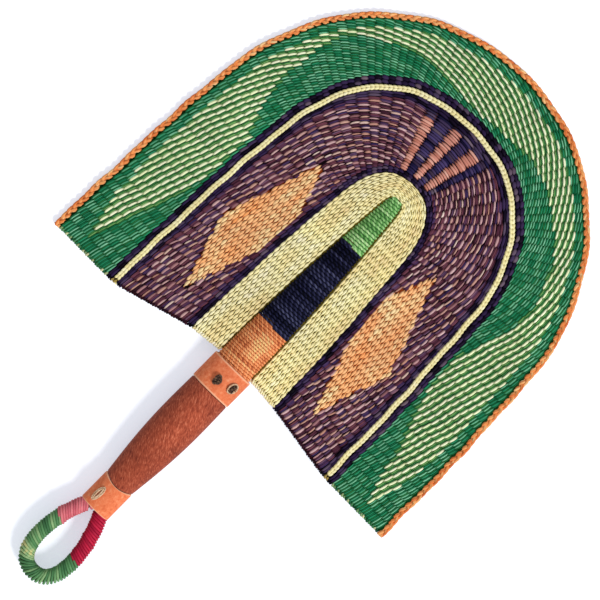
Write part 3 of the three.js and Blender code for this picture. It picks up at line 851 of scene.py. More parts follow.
@dataclass
class Weave:
    """Twined rows between two row lines.

    Args:
        inner: the row line on the spine's side.
        outer: the row line on the rim's side.
        rows: rows of grass from the one to the other.
        crown_ribs: ribs from shoulder to shoulder.
        crest: height of the strands above the middle of the band.
        bow: how far a strand rises over its rib, in thicknesses.
        sway: how far the middle of a strand bends towards the rim, in widths.
        lean: how far a strand crosses towards the spine over its length, in rows.
        overhang: how far a strand runs on past its rib at either end, as a share of the rib.
        taper: where a strand begins and ends to draw in, as shares of the way from its middle to its tip.
        tip: width of its tip, as a share of its full width.
        rings: rings of points along a strand.
        tint_spread: the two shapes of the beta draw of their tints.
        patches: how far neighbouring strands share their tint, from 0 to 1.
        patch_size: size of such a patch, in rows and ribs.
        stagger: how far every second row is shifted against the others, as a share of a rib.
        end_play: how much more uneven the strands' ends are than their widths.
        drift: how far they stray across their row, as a share of its width and of that unevenness.
        level_play: lowest and highest level of the strands, against their own.
        foot_over: how far the strands may run past the foot, as a place along the row.
        foot_clear: how far from the foot they end at least, where they come from the other side of it.
        edge_clear: how far they stay inside the band's edges with their tips, in rows.
        relief: half thickness of the stems' slab between two ribs and over a rib.
        reach_in: how far the slab reaches past the inner row line.
        reach_out: how far it reaches past the outer one.
    """

    inner: RowLine
    outer: RowLine
    rows: int
    crown_ribs: int
    crest: float = 2.3
    thickness: float = 1.25
    bow: float = 0.55
    sway: float = 0.12
    lean: float = 0.5
    overhang: float = 0.13
    taper: Pair = (0.2, 1.0)
    tip: float = 0.45
    rings: int = 5
    tint_spread: Pair = (1.1, 1.1)
    patches: float = 0.2
    patch_size: float = 3.0
    stagger: float = 0.0
    end_play: float = 4.0
    drift: float = 0.4
    level_play: Pair = (-0.1, 0.06)
    foot_over: float = 2.015
    foot_clear: float = 1.96
    edge_clear: float = 0.2
    relief: Pair = (0.75, 1.35)
    reach_in: float = 0.1
    reach_out: float = 0.1

    def point(self, place: Array, across: Array) -> Array:
        """Points of the band's middle surface."""
        inner = self.inner.at(place)
        return inner + (self.outer.at(place) - inner) * np.asarray(across)[..., None]

    def strands(self, edges: Array, facing: int, seed: int, fill: float = 1.0, straws: int = 1,
                unevenness: float = 0.1) -> tuple[Strands, Array]:
        """Works out the strands for each row and rib.

        Args:
            edges: places of the edges between ribs.
            facing: 1 for the face of the fan and -1 for its back.
            seed: start of the random draws.
            fill: width of the straws together as a share of their row.
            straws: straws that lie side by side in each strand.
            unevenness: how far widths and places differ from strand to strand, as a share of the width.

        Returns:
            The strands, and the rib, row and place of each.
        """
        draw = np.random.default_rng(seed)
        ribs = len(edges) - 1
        rib, row, straw = (grid.ravel() for grid in np.meshgrid(
            np.arange(ribs), np.arange(self.rows), np.arange(straws), indexing="ij"))
        start, end = edges[rib], edges[rib + 1]
        shift = self.stagger * (end - start) * np.where(row % 2 == 0, 1, -1)
        start, end = start + shift, end + shift
        place, across = (start + end) / 2, (row + (straw + 0.5) / straws) / self.rows
        play = self.end_play * unevenness
        over = self.overhang * (end - start) * draw.uniform(1 - play, 1 + play, (2, len(rib)))
        drift = draw.normal(0, self.drift * unevenness, (2, len(rib))) / self.rows / straws
        cross = 0.5 * self.lean / self.rows
        clear = self.edge_clear / self.rows
        low = self.point(np.clip(start - over[0], -self.foot_over, self.foot_clear),
                         np.clip(across + cross + drift[0], clear, 1))
        high = self.point(np.clip(end + over[1], -self.foot_clear, self.foot_over),
                          np.clip(across - cross + drift[1], 0, 1 - clear))
        sideways = self.outer.at(place) - self.inner.at(place)
        run = high - low
        length = np.linalg.norm(run, axis=1)
        axis = run / length[:, None]
        normal = unit(np.cross(sideways, axis))
        normal *= facing * np.where(normal[:, 2:3] < 0, -1, 1)
        width = np.linalg.norm(sideways, axis=1) / self.rows / straws * fill
        width *= draw.uniform(1 - unevenness, 1 + unevenness, len(rib))
        level = self.crest - self.thickness * (0.5 + self.bow) + draw.uniform(*self.level_play, len(rib))
        strands = Strands(
            centre=(low + high) / 2 + normal * level[:, None],
            axis=axis,
            normal=normal,
            size=np.stack([length, width, np.full(len(rib), self.thickness)], axis=1),
            tint=lerp(draw.beta(*self.tint_spread, len(rib)), patchy(draw, rib, row, self.patch_size),
                      self.patches),
            second=np.zeros(len(rib)),
        )
        return strands, np.stack([rib, row, place], axis=1)

    def ground(self, name: str, edges: Array) -> bpy.types.Mesh:
        """Makes the closed slab of covered stems under the strands, which rises over each rib.

        Args:
            name: the mesh's name.
            edges: places of the edges between ribs.

        Returns:
            The mesh.
        """
        steps = 4
        places = np.concatenate([np.linspace(low, high, steps, endpoint=False)
                                 for low, high in zip(edges[:-1], edges[1:])] + [edges[-1:]])
        phase = np.concatenate([np.tile(np.arange(steps) / steps, len(edges) - 1), [0.0]])
        half = lerp(*self.relief, np.sin(np.pi * phase) ** 2)
        columns = max(2, self.rows // 2)
        breadth = np.linalg.norm(self.outer.at(np.array([1.0])) - self.inner.at(np.array([1.0])))
        shares = np.linspace(-self.reach_in / breadth, 1 + self.reach_out / breadth, columns + 1)
        middle = self.point(*(grid.ravel() for grid in np.meshgrid(places, shares, indexing="ij")))
        lift = np.zeros_like(middle)
        lift[:, 2] = np.repeat(half, columns + 1)
        count, wide = len(middle), columns + 1
        faces = []
        for ring in range(len(places) - 1):
            for column in range(columns):
                a = ring * wide + column
                faces.append((a, a + 1, a + wide + 1, a + wide))
                faces.append((count + a, count + a + wide, count + a + wide + 1, count + a + 1))
            for a in (ring * wide, ring * wide + columns):
                faces.append((a, a + wide, count + a + wide, count + a))
        for ring in (0, (len(places) - 1) * wide):
            for column in range(columns):
                a = ring + column
                faces.append((a, a + 1, count + a + 1, count + a))
        return solid_mesh(name, np.concatenate([middle + lift, middle - lift]), faces)


@dataclass(frozen=True)
class BandSize:
    """Size of a band of the blade.

    Args:
        foot: its width at the foot of a leg.
        shoulder: its width at the shoulder.
        crown: its width at the crown.
        fullness: how square its outer row line is.
    """

    foot: float
    shoulder: float
    crown: float
    fullness: float


class Dye(Enum):
    """The dyed grass of the fan, each with its finish."""

    # The end shade of each dye is painted shade for the strands' ends; a dye with no shaded ends has none.
    CREAM = GrassFinish("cream_grass", ("f2dca4", "faecae", "fdf6c0", "fffad6"), painted_end_shade="fcf8dc")
    NAVY = GrassFinish("navy_grass", ("06040a", "180f24", "302248", "443658", "7c6a74"),
                       painted_end_shade="605c70", sheen=0.04)
    DUSK = GrassFinish("dusky_navy_grass", ("0e0a20", "1e1a40", "4c4070", "3a2c44", "a490a0"),
                       painted_end_shade="807890", sheen=0.04)
    PLUM = GrassFinish("plum_grass", ("1c0c16", "502a3c", "764452", "382c5c", "9a6e7e"),
                       ("744850", "b48488", "d4b0b4", "c08c7c", "ecd8d0"), painted_end_shade="806068", sheen=0.04)
    ORANGE = GrassFinish("orange_grass", ("f49a56", "fab67a", "fcc48c", "fcdca4", "fcecc0"),
                         painted_end_shade="d89860")
    SALMON = GrassFinish("salmon_grass", ("b06a58", "cc8878", "dc9c8c", "e8b4a4"),
                         ("1c142c", "3a3054", "5c4c68"), painted_end_shade="a07870")
    GREEN = GrassFinish("green_grass", ("7cb468", "3e8648", "0c5e36", "289468", "94deb6"),
                        ("ecf8c0", "f4fcd0", "faffdc", "f0f4cc"), painted_end_shade="98a888", sheen=0.06)
    CHAIN = GrassFinish("chain_grass", ("f0e4a4", "f8f0b8", "fcf6cc"), painted_end_shade="a89868")
    RIM = GrassFinish("rim_grass", ("b8552c", "e27e42", "ee9656", "f2b070", "f8dca4"), painted_end_shade_share=0.0)
    EDGE_CREAM = GrassFinish("edge_cream_grass", ("ecdca0", "f8f0c0", "fffae0"), painted_end_shade_share=0.0)
    EDGE_GREEN = GrassFinish("edge_green_grass", ("0c4428", "1e6a40", "4a8a58", "a8b884", "dcdcae"),
                             painted_end_shade_share=0.0)
    SPINE_ORANGE = GrassFinish("spine_orange_grass", ("a65030", "ea9058", "f8ac76", "f4ce8a"),
                               painted_end_shade_share=0.0)
    SPINE_NAVY = GrassFinish("spine_navy_grass", ("04050c", "10122a", "2a2c4c", "62668a"),
                             painted_end_shade_share=0.0, sheen=0.04)
    SPINE_GREEN = GrassFinish("spine_green_grass", ("346a30", "72b462", "aadc94", "d8ecbc"),
                              painted_end_shade_share=0.0)
    LOOP_PINK = GrassFinish("pink_strand", ("c4586a", "e07a84", "f0a0a4"), painted_end_shade_share=0.0)
    LOOP_GREEN = GrassFinish("loop_green_strand", ("2a5c3a", "5c9460", "a0c48c", "dcd490"),
                             painted_end_shade_share=0.0)
    LOOP_RED = GrassFinish("crimson_strand", ("9a1436", "cc2448", "e84c68"), painted_end_shade_share=0.0)


class Stem(Enum):
    """Covered stems under the strands, each with its finish."""

    # Their colours are kept dark, partly as painted shade for the gaps between the strands where the stems
    # show.
    CREAM = StemFinish("cream_stems", "54480c", "86742c")
    NAVY = StemFinish("navy_stems", "030208", "0a0814")
    PLUM = StemFinish("plum_stems", "080208", "18080e", inlay="96421a")
    GREEN = StemFinish("green_stems", "04260a", "0c3818", inlay="2e3408")
    SALMON = StemFinish("salmon_stems", "3c1c1c", "5a302c")
    WOOD = StemFinish("bundle_stems", "4e3414", "8a6a38")


class Leather(Enum):
    """The leather and laces of the handle."""

    # The suede's last values place a patch of painted light on the right of the grip, towards the sun.
    SUEDE = LeatherFinish("grip_suede", ("6a2012", "8c3a24", "a44a30", "c87456"), (1500.0, 300.0, 800.0),
                          0.0002, 0.5, math.radians(-35), painted_light_patch=(0.005, -0.08, 0.011, 0.035))
    COLLAR = LeatherFinish("collar_leather", ("cc6038", "e07448", "e68054", "f09a70"),
                           (500.0, 400.0, 500.0), 0.00012, 0.3)
    DARK_LACE = LeatherFinish("dark_lace", ("180a06", "40281c", "86684e"), (900.0, 900.0, 900.0),
                              0.0002, 0.2)
    PALE_LACE = LeatherFinish("pale_lace", ("a47858", "d0a884", "f0dcc0"), (900.0, 900.0, 900.0),
                              0.0002, 0.3)


def inside_outline(points: Array, outline: Array) -> Array:
    """Says which points lie inside a flat outline of straight sides that doesn't turn in on itself."""
    following = np.roll(outline, -1, axis=0)
    side = following - outline
    towards = points[:, None, :] - outline[None, :, :]
    turn = side[None, :, 0] * towards[..., 1] - side[None, :, 1] * towards[..., 0]
    return np.all(turn > 0, axis=1) | np.all(turn < 0, axis=1)


Sizes = dict[str, float | Pair]


def sizes_of(**sizes: float | Pair) -> Sizes:
    """Gives a dataclass field that holds named sizes."""
    return field(default_factory=lambda: dict(sizes))


@dataclass
class Blade:
    """The twined blade: bands of rows in a U, a diamond in each purple half and ribs at the crown.

    Args:
        spine: the row line round the spine.
        sizes: sizes of the bands by name, from the spine out.
        fill: width of a plain band's strands, as a share of their row.
        fine: how the fine strands of the cream band and of the diamonds are laid, before what
            cream_weave and diamond_weave add to it.
        purple_weave: how the purple band is laid. The weaves of the other bands are given in the same way.
        straw_fill: width of the straws of a green and of a plum strand, as a share of their row.
        straw_play: how uneven these straws are.
        pale_fill: the same for a pale strand among the green and the plum ones.
        pale_play: how uneven the pale strands among the plum ones are.
        wedge_edges: places of the edges between the ribs at the crown.
        wedge_overhang: overhang of the salmon and of the navy ribs' strands.
        wedge_play: how uneven these strands are.
        wedge_rows_short: how many outer rows of each salmon rib are navy.
        diamond_corners: share across the band and place of each corner of a diamond.
        crescent_end: how far down the legs the crescent reaches.
        crescent_inner: place and share across the band of the points of its inner edge.
        crescent_outer: the same for its outer edge.
        crescent_width: width of the green straws in it, as a share of the others.
        crescent_tints: lowest and highest tint there, of the straws painted as lit and of those painted as
            shaded.
        ground_tints: the same outside the crescent.
    """

    spine: RowLine = field(default_factory=lambda: RowLine(13.5, 7.8, 146.5, 6.0))
    sizes: dict[str, BandSize] = field(default_factory=lambda: {
        "cream": BandSize(21.8, 20.9, 13.0, 2.6),
        "inner_navy": BandSize(3.6, 3.6, 3.4, 2.6),
        "purple": BandSize(44.9, 45.8, 41.0, 2.4),
        "middle_navy": BandSize(3.2, 3.2, 3.8, 2.4),
        "chain": BandSize(3.7, 3.7, 3.7, 2.4),
        "outer_navy": BandSize(3.4, 4.2, 4.8, 2.4),
        "green": BandSize(41.6, 41.7, 37.3, 2.15),
        "rim": BandSize(4.9, 4.7, 4.9, 2.1)})
    gap: float = 0.3
    fill: float = 1.16
    sides: int = 5
    fine: Sizes = sizes_of(taper=(0.35, 0.7), tip=0.36, rings=7, patches=0.75, stagger=0.16, lean=0.2,
                           overhang=0.105)
    cream_weave: Sizes = sizes_of(rows=13, crown_ribs=18, reach_in=2.0)
    diamond_weave: Sizes = sizes_of(rows=27, crown_ribs=34)
    navy_weave: Sizes = sizes_of(rows=2, taper=(0.3, 0.9), tip=0.4)
    purple_weave: Sizes = sizes_of(rows=24, crown_ribs=34, lean=0.7, taper=(0.35, 0.9), tip=0.4, bow=0.7)
    green_weave: Sizes = sizes_of(rows=21, crown_ribs=68, lean=0.9, taper=(0.35, 0.95), tip=0.45, bow=0.65,
                                  reach_out=1.6)
    wedge_weave: Sizes = sizes_of(rows=24, crown_ribs=34, crest=2.6, thickness=1.2, bow=0.9, sway=0.1,
                                  lean=0.3, taper=(0.35, 1.0), tip=0.3, rings=9)
    straw_fill: Pair = (1.08, 1.2)
    straw_play: float = 0.15
    pale_fill: Pair = (0.92, 0.8)
    pale_play: float = 0.35
    wedge_edges: tuple[float, ...] = (-0.2313, -0.1688, -0.0719, -0.0094, 0.0719, 0.1406, 0.1938)
    wedge_overhang: Pair = (0.2, 0.08)
    wedge_play: float = 0.22
    wedge_rows_short: tuple[int, int, int] = (3, 1, 2)
    diamond_corners: Pairs = (
        (0.38, 1.87), (0.77, 1.45), (0.38, 0.89), (0.035, 1.2), (0.035, 1.46))
    crescent_end: float = 1.94
    crescent_inner: Pairs = (
        (-1.94, 0.57), (-1.7, 0.33), (-1.45, 0.08), (-1.3, 0.045), (-1.12, 0.05), (-0.9, 0.4), (-0.6, 0.76),
        (-0.38, 0.5), (-0.15, 0.14), (0, 0.06), (0.15, 0.2), (0.35, 0.42), (0.6, 0.56), (0.8, 0.5),
        (0.95, 0.3), (1.12, 0.06), (1.3, 0.045), (1.45, 0.12), (1.7, 0.36), (1.94, 0.57))
    crescent_outer: Pairs = (
        (-1.94, 0.59), (-1.8, 0.74), (-1.6, 0.84), (-1.3, 0.86), (0, 0.86), (1.3, 0.86), (1.6, 0.84),
        (1.8, 0.74), (1.94, 0.59))
    crescent_width: float = 0.88
    crescent_tints: tuple[Pair, Pair] = ((0.0, 0.14), (0.22, 0.37))
    ground_tints: tuple[Pair, Pair] = ((0.62, 1.0), (0.36, 0.6))

    def __post_init__(self) -> None:
        """Works out the two row lines of each band, from the spine out, and builds the strand tree."""
        self.lines: dict[str, tuple[RowLine, RowLine]] = {}
        line = self.spine
        for name, size in self.sizes.items():
            clear = 0.0 if name == "rim" else line.clear
            inner = RowLine(line.foot + self.gap, line.shoulder + self.gap, line.crown + self.gap,
                            line.fullness, clear)
            line = RowLine(inner.foot + size.foot, inner.shoulder + size.shoulder, inner.crown + size.crown,
                           size.fullness, clear)
            self.lines[name] = (inner, line)
        self.tree = laid_strands()

    def weave(self, band: str, **sizes: float | Pair) -> Weave:
        """Gives the weave of a band."""
        return Weave(*self.lines[band], **sizes)

    def lay(self, name: str, parts: Sequence[Strands], dye: Dye, slot: str, nodes: Sequence[str],
            weave: Weave) -> None:
        """Lays sets of strands as one piece.

        Args:
            name: the new piece's name.
            parts: the sets of strands.
            dye: the dye of their grass.
            slot: the material slot.
            nodes: the CAD nodes that the piece stands for.
            weave: the weave that gives the strands their section and bow.
        """
        sizes = {"Rings": weave.rings, "Sides": self.sides, "Bow": weave.bow, "Sway": weave.sway,
                 "Taper Start": weave.taper[0], "Taper End": weave.taper[1], "Tip": weave.tip}
        carrier = Strands.together(parts).carrier(name)
        seat(self.tree.run(name, carrier, finish_of(dye), sizes), slot, nodes)

    def lay_ground(self, name: str, weave: Weave, edges: Array, stem: Stem, slot: str,
                   nodes: Sequence[str], inlay: Array | None = None) -> None:
        """Lays the slab of covered stems under a band.

        Args:
            name: the new piece's name.
            weave: the band's weave.
            edges: places of the edges between ribs.
            stem: the stems' finish.
            slot: the material slot.
            nodes: the CAD nodes that the slab stands for.
            inlay: outline inside which the stems take their inlay's colour.
        """
        mesh = weave.ground(name, edges)
        places = np.array([vertex.co for vertex in mesh.vertices])[:, :2] / MM
        within = np.zeros(len(places)) if inlay is None else inside_outline(places, inlay).astype(float)
        set_values(mesh, "inlay", within)
        mesh.materials.append(finish_of(stem))
        seat(show(name, mesh), slot, nodes)

    def plain_band(self, node: str, weave: Weave, dye: Dye, stem: Stem, slot: str, seed: int) -> None:
        """Builds a band of one colour, on both faces.

        Args:
            node: the CAD node of the band.
            weave: how it is laid.
            dye: the dye of its strands.
            stem: the finish of the stems under them.
            slot: its material slot.
            seed: start of the random draws.
        """
        edges = rib_edges(-2, 2, weave.crown_ribs)
        face, _ = weave.strands(edges, 1, seed, self.fill)
        back, _ = weave.strands(edges, -1, seed + 1, self.fill)
        self.lay(node + "_strands", [face, back], dye, slot, [node], weave)
        self.lay_ground(node + "_stems", weave, edges, stem, slot, [node])

    def navy_rows(self, band: str, crown_ribs: int, seed: int) -> None:
        """Builds one of the narrow navy bands."""
        weave = self.weave(band, crown_ribs=crown_ribs, **self.navy_weave)
        self.plain_band(band + "_rows", weave, Dye.NAVY, Stem.NAVY, "grass_navy", seed)

    def straw_tints(self, tint: Array, inside: Array) -> Array:
        """Spreads tints over the two straws of each strand, one painted as lit and one as shaded, in the
        crescent and outside it.
        """
        # Painted light and shade: every first straw takes the lighter tints and every second the darker.
        lit = np.tile([True, False], len(tint) // 2)
        among, around = (np.where(lit, lerp(*bright, tint), lerp(*dark, tint))
                         for bright, dark in (self.crescent_tints, self.ground_tints))
        return np.where(inside, among, around)

    def green_band(self) -> None:
        """Builds the green band with its two-colour crescent."""
        weave = self.weave("green", **self.green_weave)
        edges = rib_edges(-2, 2, weave.crown_ribs)
        for facing, name in ((1, "green_band_face"), (-1, "green_band_back")):
            green, grid = weave.strands(edges, facing, Seed.GREEN + facing, self.straw_fill[0], 2,
                                        self.straw_play)
            inside, striped = self.in_crescent(grid)
            green.size[:, 1] *= np.where(inside, self.crescent_width, 1.0)
            green.tint = self.straw_tints(green.tint, inside)
            pale, pale_grid = weave.strands(edges, facing, Seed.PALE_GREEN + facing, self.pale_fill[0])
            pale.second += 1.0
            parts = [green.chosen(~striped), pale.chosen(self.in_crescent(pale_grid)[1])]
            self.lay(name, parts, Dye.GREEN, "grass_green", ["green_band"], weave)
        self.lay_ground("green_band_stems", weave, edges, Stem.GREEN, "grass_green", ["green_band"],
                        self.crescent_outline(weave))

    def crescent_outline(self, weave: Weave) -> Array:
        """Corners of the crescent, seen from above."""
        places = np.linspace(-self.crescent_end, self.crescent_end, 120)
        low, high = (np.interp(places, *zip(*line)) for line in (self.crescent_inner, self.crescent_outer))
        return np.concatenate([weave.point(places, low), weave.point(places, high)[::-1]])[:, :2]

    def in_crescent(self, grid: Array) -> tuple[Array, Array]:
        """Says which strands of the green band lie in its crescent, and which of them are pale."""
        rib, row, place = grid.T
        across = (row + 0.5) / (row.max() + 1)
        low, high = (np.interp(place, *zip(*line)) for line in (self.crescent_inner, self.crescent_outer))
        inside = (across > low) & (across < high) & (np.abs(place) < self.crescent_end)
        return inside, inside & ((rib + row) % 2 == 0)

    def purple_side(self, side: int, node: str, diamond: str) -> None:
        """Builds one half of the purple band with its diamond.

        Args:
            side: -1 for the left half and 1 for the right.
            node: the CAD node of the half.
            diamond: the CAD node of its diamond.
        """
        weave = self.weave("purple", **self.purple_weave)
        inlay = self.weave("purple", **self.fine, **self.diamond_weave)
        start, end = (-2, self.wedge_edges[0]) if side < 0 else (self.wedge_edges[-1], 2)
        edges = rib_edges(start, end, weave.crown_ribs)
        corners = np.array(self.diamond_corners)
        outline = weave.point(side * corners[:, 1], corners[:, 0])[:, :2]
        ground, inset = [], []
        for facing in (1, -1):
            turn = side + 3 * facing
            plum, _ = weave.strands(edges, facing, Seed.PLUM + turn, self.straw_fill[1], 2, self.straw_play)
            pale, grid = weave.strands(edges, facing, Seed.PALE_PLUM + turn, self.pale_fill[1],
                                       unevenness=self.pale_play)
            pale.second += 1.0
            orange, _ = inlay.strands(edges, facing, Seed.DIAMOND + turn, self.fill)
            inset.append(orange.chosen(inside_outline(orange.centre[:, :2], outline)))
            free = ~inside_outline(pale.centre[:, :2], outline)
            rib, row = grid.T[:2]
            dashed = ((rib + row) % 2 == 0) & (row > 0) & (row < weave.rows - 1) & free
            ground += [plum.chosen(np.repeat(~dashed & free, 2)), pale.chosen(dashed)]
        self.lay(node + "_strands", ground, Dye.PLUM, "grass_purple", [node], weave)
        self.lay_ground(node + "_stems", weave, edges, Stem.PLUM, "grass_purple", [node], outline)
        self.lay(diamond + "_strands", inset, Dye.ORANGE, "grass_orange", [diamond], inlay)

    def wedges(self) -> None:
        """Builds the fan of salmon and navy ribs at the crown, each row one strand wide."""
        names = ("salmon_left", "navy_left", "salmon_middle", "navy_middle", "salmon_right", "navy_right")
        for count, name in enumerate(names):
            salmon = count % 2 == 0
            weave = self.weave("purple", overhang=self.wedge_overhang[count % 2], **self.wedge_weave)
            edges = np.array(self.wedge_edges[count:count + 2])
            dye, stem, slot = ((Dye.SALMON, Stem.SALMON, "grass_salmon") if salmon
                               else (Dye.DUSK, Stem.NAVY, "grass_navy"))
            parts = []
            for facing in (1, -1):
                strands, grid = weave.strands(edges, facing, Seed.WEDGE + count + 10 * facing,
                                              unevenness=self.wedge_play)
                if salmon:
                    first_navy = weave.rows - self.wedge_rows_short[count // 2]
                    strands.second = (grid[:, 1] >= first_navy).astype(float)
                parts.append(strands)
            node = "wedge_" + name
            self.lay(node + "_strands", parts, dye, slot, [node], weave)
            self.lay_ground(node + "_stems", weave, edges, stem, slot, [node])

    def build(self) -> None:
        """Builds the whole blade."""
        cream = self.weave("cream", **self.fine, **self.cream_weave)
        self.plain_band("cream_band", cream, Dye.CREAM, Stem.CREAM, "grass_cream", Seed.CREAM)
        self.navy_rows("inner_navy", 34, Seed.INNER_NAVY)
        self.purple_side(-1, "purple_band_left", "diamond_left")
        self.purple_side(1, "purple_band_right", "diamond_right")
        self.wedges()
        self.navy_rows("middle_navy", 34, Seed.MIDDLE_NAVY)
        self.navy_rows("outer_navy", 68, Seed.OUTER_NAVY)
        self.green_band()
        ChainLine(self).build()
        RimBraid(self).build()
        BaseEdge(self, -1, "base_edge_left").build()
        BaseEdge(self, 1, "base_edge_right").build()


@dataclass
class ChainLine:
    """The raised chain: leaf-shaped strands in pairs that lean together.

    Args:
        leg_links: links down each leg.
        crown_links: links from shoulder to shoulder.
        halves: where the two strands of a link start and end across the line, as shares of it.
        reach: how far they reach along the line from the middle of their link, in links.
        width: width of a strand, as a share of the line.
        tint_spread: the two shapes of the beta draw of the strands' tints.
    """

    blade: Blade
    leg_links: int = 44
    crown_links: int = 96
    halves: Pairs = ((0.16, 0.42), (0.84, 0.58))
    reach: float = 0.72
    width: float = 0.6
    tint_spread: Pair = (2.0, 2.0)
    bed_rows: int = 3
    bed_ribs: int = 68

    def leaves(self, weave: Weave, edges: Array, facing: int, half: Pair,
               draw: np.random.Generator) -> Strands:
        """Works out one strand of each link.

        Args:
            weave: the line's weave.
            edges: places of the edges between links.
            facing: 1 for the face of the fan and -1 for its back.
            half: where the strand starts and ends across the line.
            draw: where the random values come from.

        Returns:
            The strands.
        """
        place, reach = (edges[:-1] + edges[1:]) / 2, self.reach * np.diff(edges)
        low = weave.point(np.maximum(place - reach, -2.0), np.full(len(place), half[0]))
        high = weave.point(np.minimum(place + reach, 2.0), np.full(len(place), half[1]))
        run = high - low
        length = np.linalg.norm(run, axis=1)
        width = self.width * np.linalg.norm(weave.outer.at(place) - weave.inner.at(place), axis=1)
        normal = np.zeros_like(run)
        normal[:, 2] = facing
        level = weave.crest - weave.thickness * (0.5 + weave.bow)
        return Strands(
            centre=(low + high) / 2 + normal * level, axis=run / length[:, None], normal=normal,
            size=np.stack([length, width, np.full(len(place), weave.thickness)], axis=1),
            tint=draw.beta(*self.tint_spread, len(place)), second=np.zeros(len(place)))

    def build(self) -> None:
        """Builds the links and the stems under them."""
        weave = self.blade.weave("chain", rows=1, crown_ribs=self.crown_links, crest=3.0, thickness=1.5,
                                 bow=0.3, sway=0.0)
        parts = ((-2, -1, self.leg_links), (-1, 1, self.crown_links), (1, 2, self.leg_links))
        edges = np.concatenate([np.linspace(*part, endpoint=False) for part in parts] + [[2.0]])
        draw = np.random.default_rng(Seed.CHAIN)
        leaves = [self.leaves(weave, edges, facing, half, draw)
                  for facing in (1, -1) for half in self.halves]
        self.blade.lay("chain_line_links", leaves, Dye.CHAIN, "grass_cream", ["chain_line"], weave)
        bed = self.blade.weave("chain", rows=self.bed_rows, crown_ribs=self.bed_ribs)
        self.blade.lay_ground("chain_line_stems", bed, rib_edges(-2, 2, self.bed_ribs), Stem.NAVY,
                              "grass_cream", ["chain_line"])


@dataclass
class RimBraid:
    """The rim: a flat plait of three strands, each of three straws side by side.

    Args:
        pitch: length in which a strand comes back to its place.
        swing: how far a strand swings to either side.
        lift: how far it rises and dips where it crosses another.
        straw_gap: distance between its straws, side by side.
        straw_lift: rise from straw to straw where the strand turns back.
        tint_length: length over which a straw keeps about one tint.
        tints: lowest and highest tint.
    """

    blade: Blade
    points: int = 1500
    strands: int = 3
    pitch: float = 15.0
    swing: float = 1.35
    lift: float = 0.75
    straw_gap: float = 0.45
    straw_lift: float = 0.3
    radius: float = 0.95
    sides: int = 5
    tint_length: float = 12.0
    tints: Pair = (0.1, 0.95)

    def build(self) -> None:
        """Builds the plait."""
        inner, outer = self.blade.lines["rim"]
        place = np.linspace(-2, 2, self.points)
        middle = (inner.at(place) + outer.at(place)) / 2
        middle[:, 2] = SPREAD.rim_half_thickness
        sideways = unit((outer.at(place) - inner.at(place)) * (1, 1, 0))
        run = run_along(middle)
        marks = np.arange(0, run[-1] + self.tint_length, self.tint_length)
        runs = Runs()
        draw = np.random.default_rng(Seed.RIM)
        for strand in range(self.strands):
            phase = 2 * np.pi * (run / self.pitch + strand / self.strands)
            level = np.abs(np.cos(phase))
            for straw in (-1, 0, 1):
                across = self.swing * np.sin(phase) + self.straw_gap * straw * level
                path = middle + sideways * across[:, None]
                path[:, 2] += self.lift * np.sin(2 * phase) + self.straw_lift * straw * (1 - level)
                runs.add(path, np.interp(run, marks, draw.uniform(*self.tints, len(marks))))
        wind("rim_braid_plait", runs, Dye.RIM, self.sides, self.radius, "grass_rim_orange", ["rim_braid"])


@dataclass
class BaseEdge:
    """The whipped lower edge of one leg: each band's strands wound round its cord.

    Args:
        side: -1 for the left leg and 1 for the right.
        node: the CAD node that it stands for.
        height: height of its middle above the lower edge of the blade.
        pitch: length of one turn.
        steps: points of a turn.
        waves: how uneven it is, as waves of a size and a rate.
        dyes: the dye of each band's strand.
    """

    blade: Blade
    side: int
    node: str
    height: float = 1.3
    pitch: float = 1.7
    steps: int = 9
    radius: float = 0.85
    waves: Pairs = ((0.18, 0.37), (0.12, 0.21))
    strand_radius: float = 0.8
    sides: int = 5
    dyes: tuple[tuple[str, Dye], ...] = (
        ("cream", Dye.EDGE_CREAM), ("inner_navy", Dye.NAVY), ("purple", Dye.PLUM), ("middle_navy", Dye.NAVY),
        ("chain", Dye.CHAIN), ("outer_navy", Dye.NAVY), ("green", Dye.EDGE_GREEN))

    def build(self) -> None:
        """Builds the winding of each band."""
        draw = np.random.default_rng(Seed.BASE_EDGE + self.side)
        foot = np.array([2.0 * self.side])
        for name, dye in self.dyes:
            inner, outer = (line.at(foot)[0] + (0, self.height - line.clear, 0)
                            for line in self.blade.lines[name])
            turns = max(2, round(np.linalg.norm(outer - inner) / self.pitch))
            share = np.linspace(0, 1, turns * self.steps + 1)
            angle = 2 * np.pi * turns * share + draw.uniform(0, 6)
            radius = self.radius + sum(size * np.sin(angle * rate) for size, rate in self.waves)
            path = inner + (outer - inner) * share[:, None]
            path[:, 1] += radius * np.cos(angle)
            path[:, 2] += radius * np.sin(angle)
            runs = Runs()
            runs.add(path, np.repeat(draw.uniform(0, 1, turns + 1), self.steps)[:len(path)])
            wind(f"{self.node}_{name}", runs, dye, self.sides, self.strand_radius, "grass_edge", [self.node])


# Handle


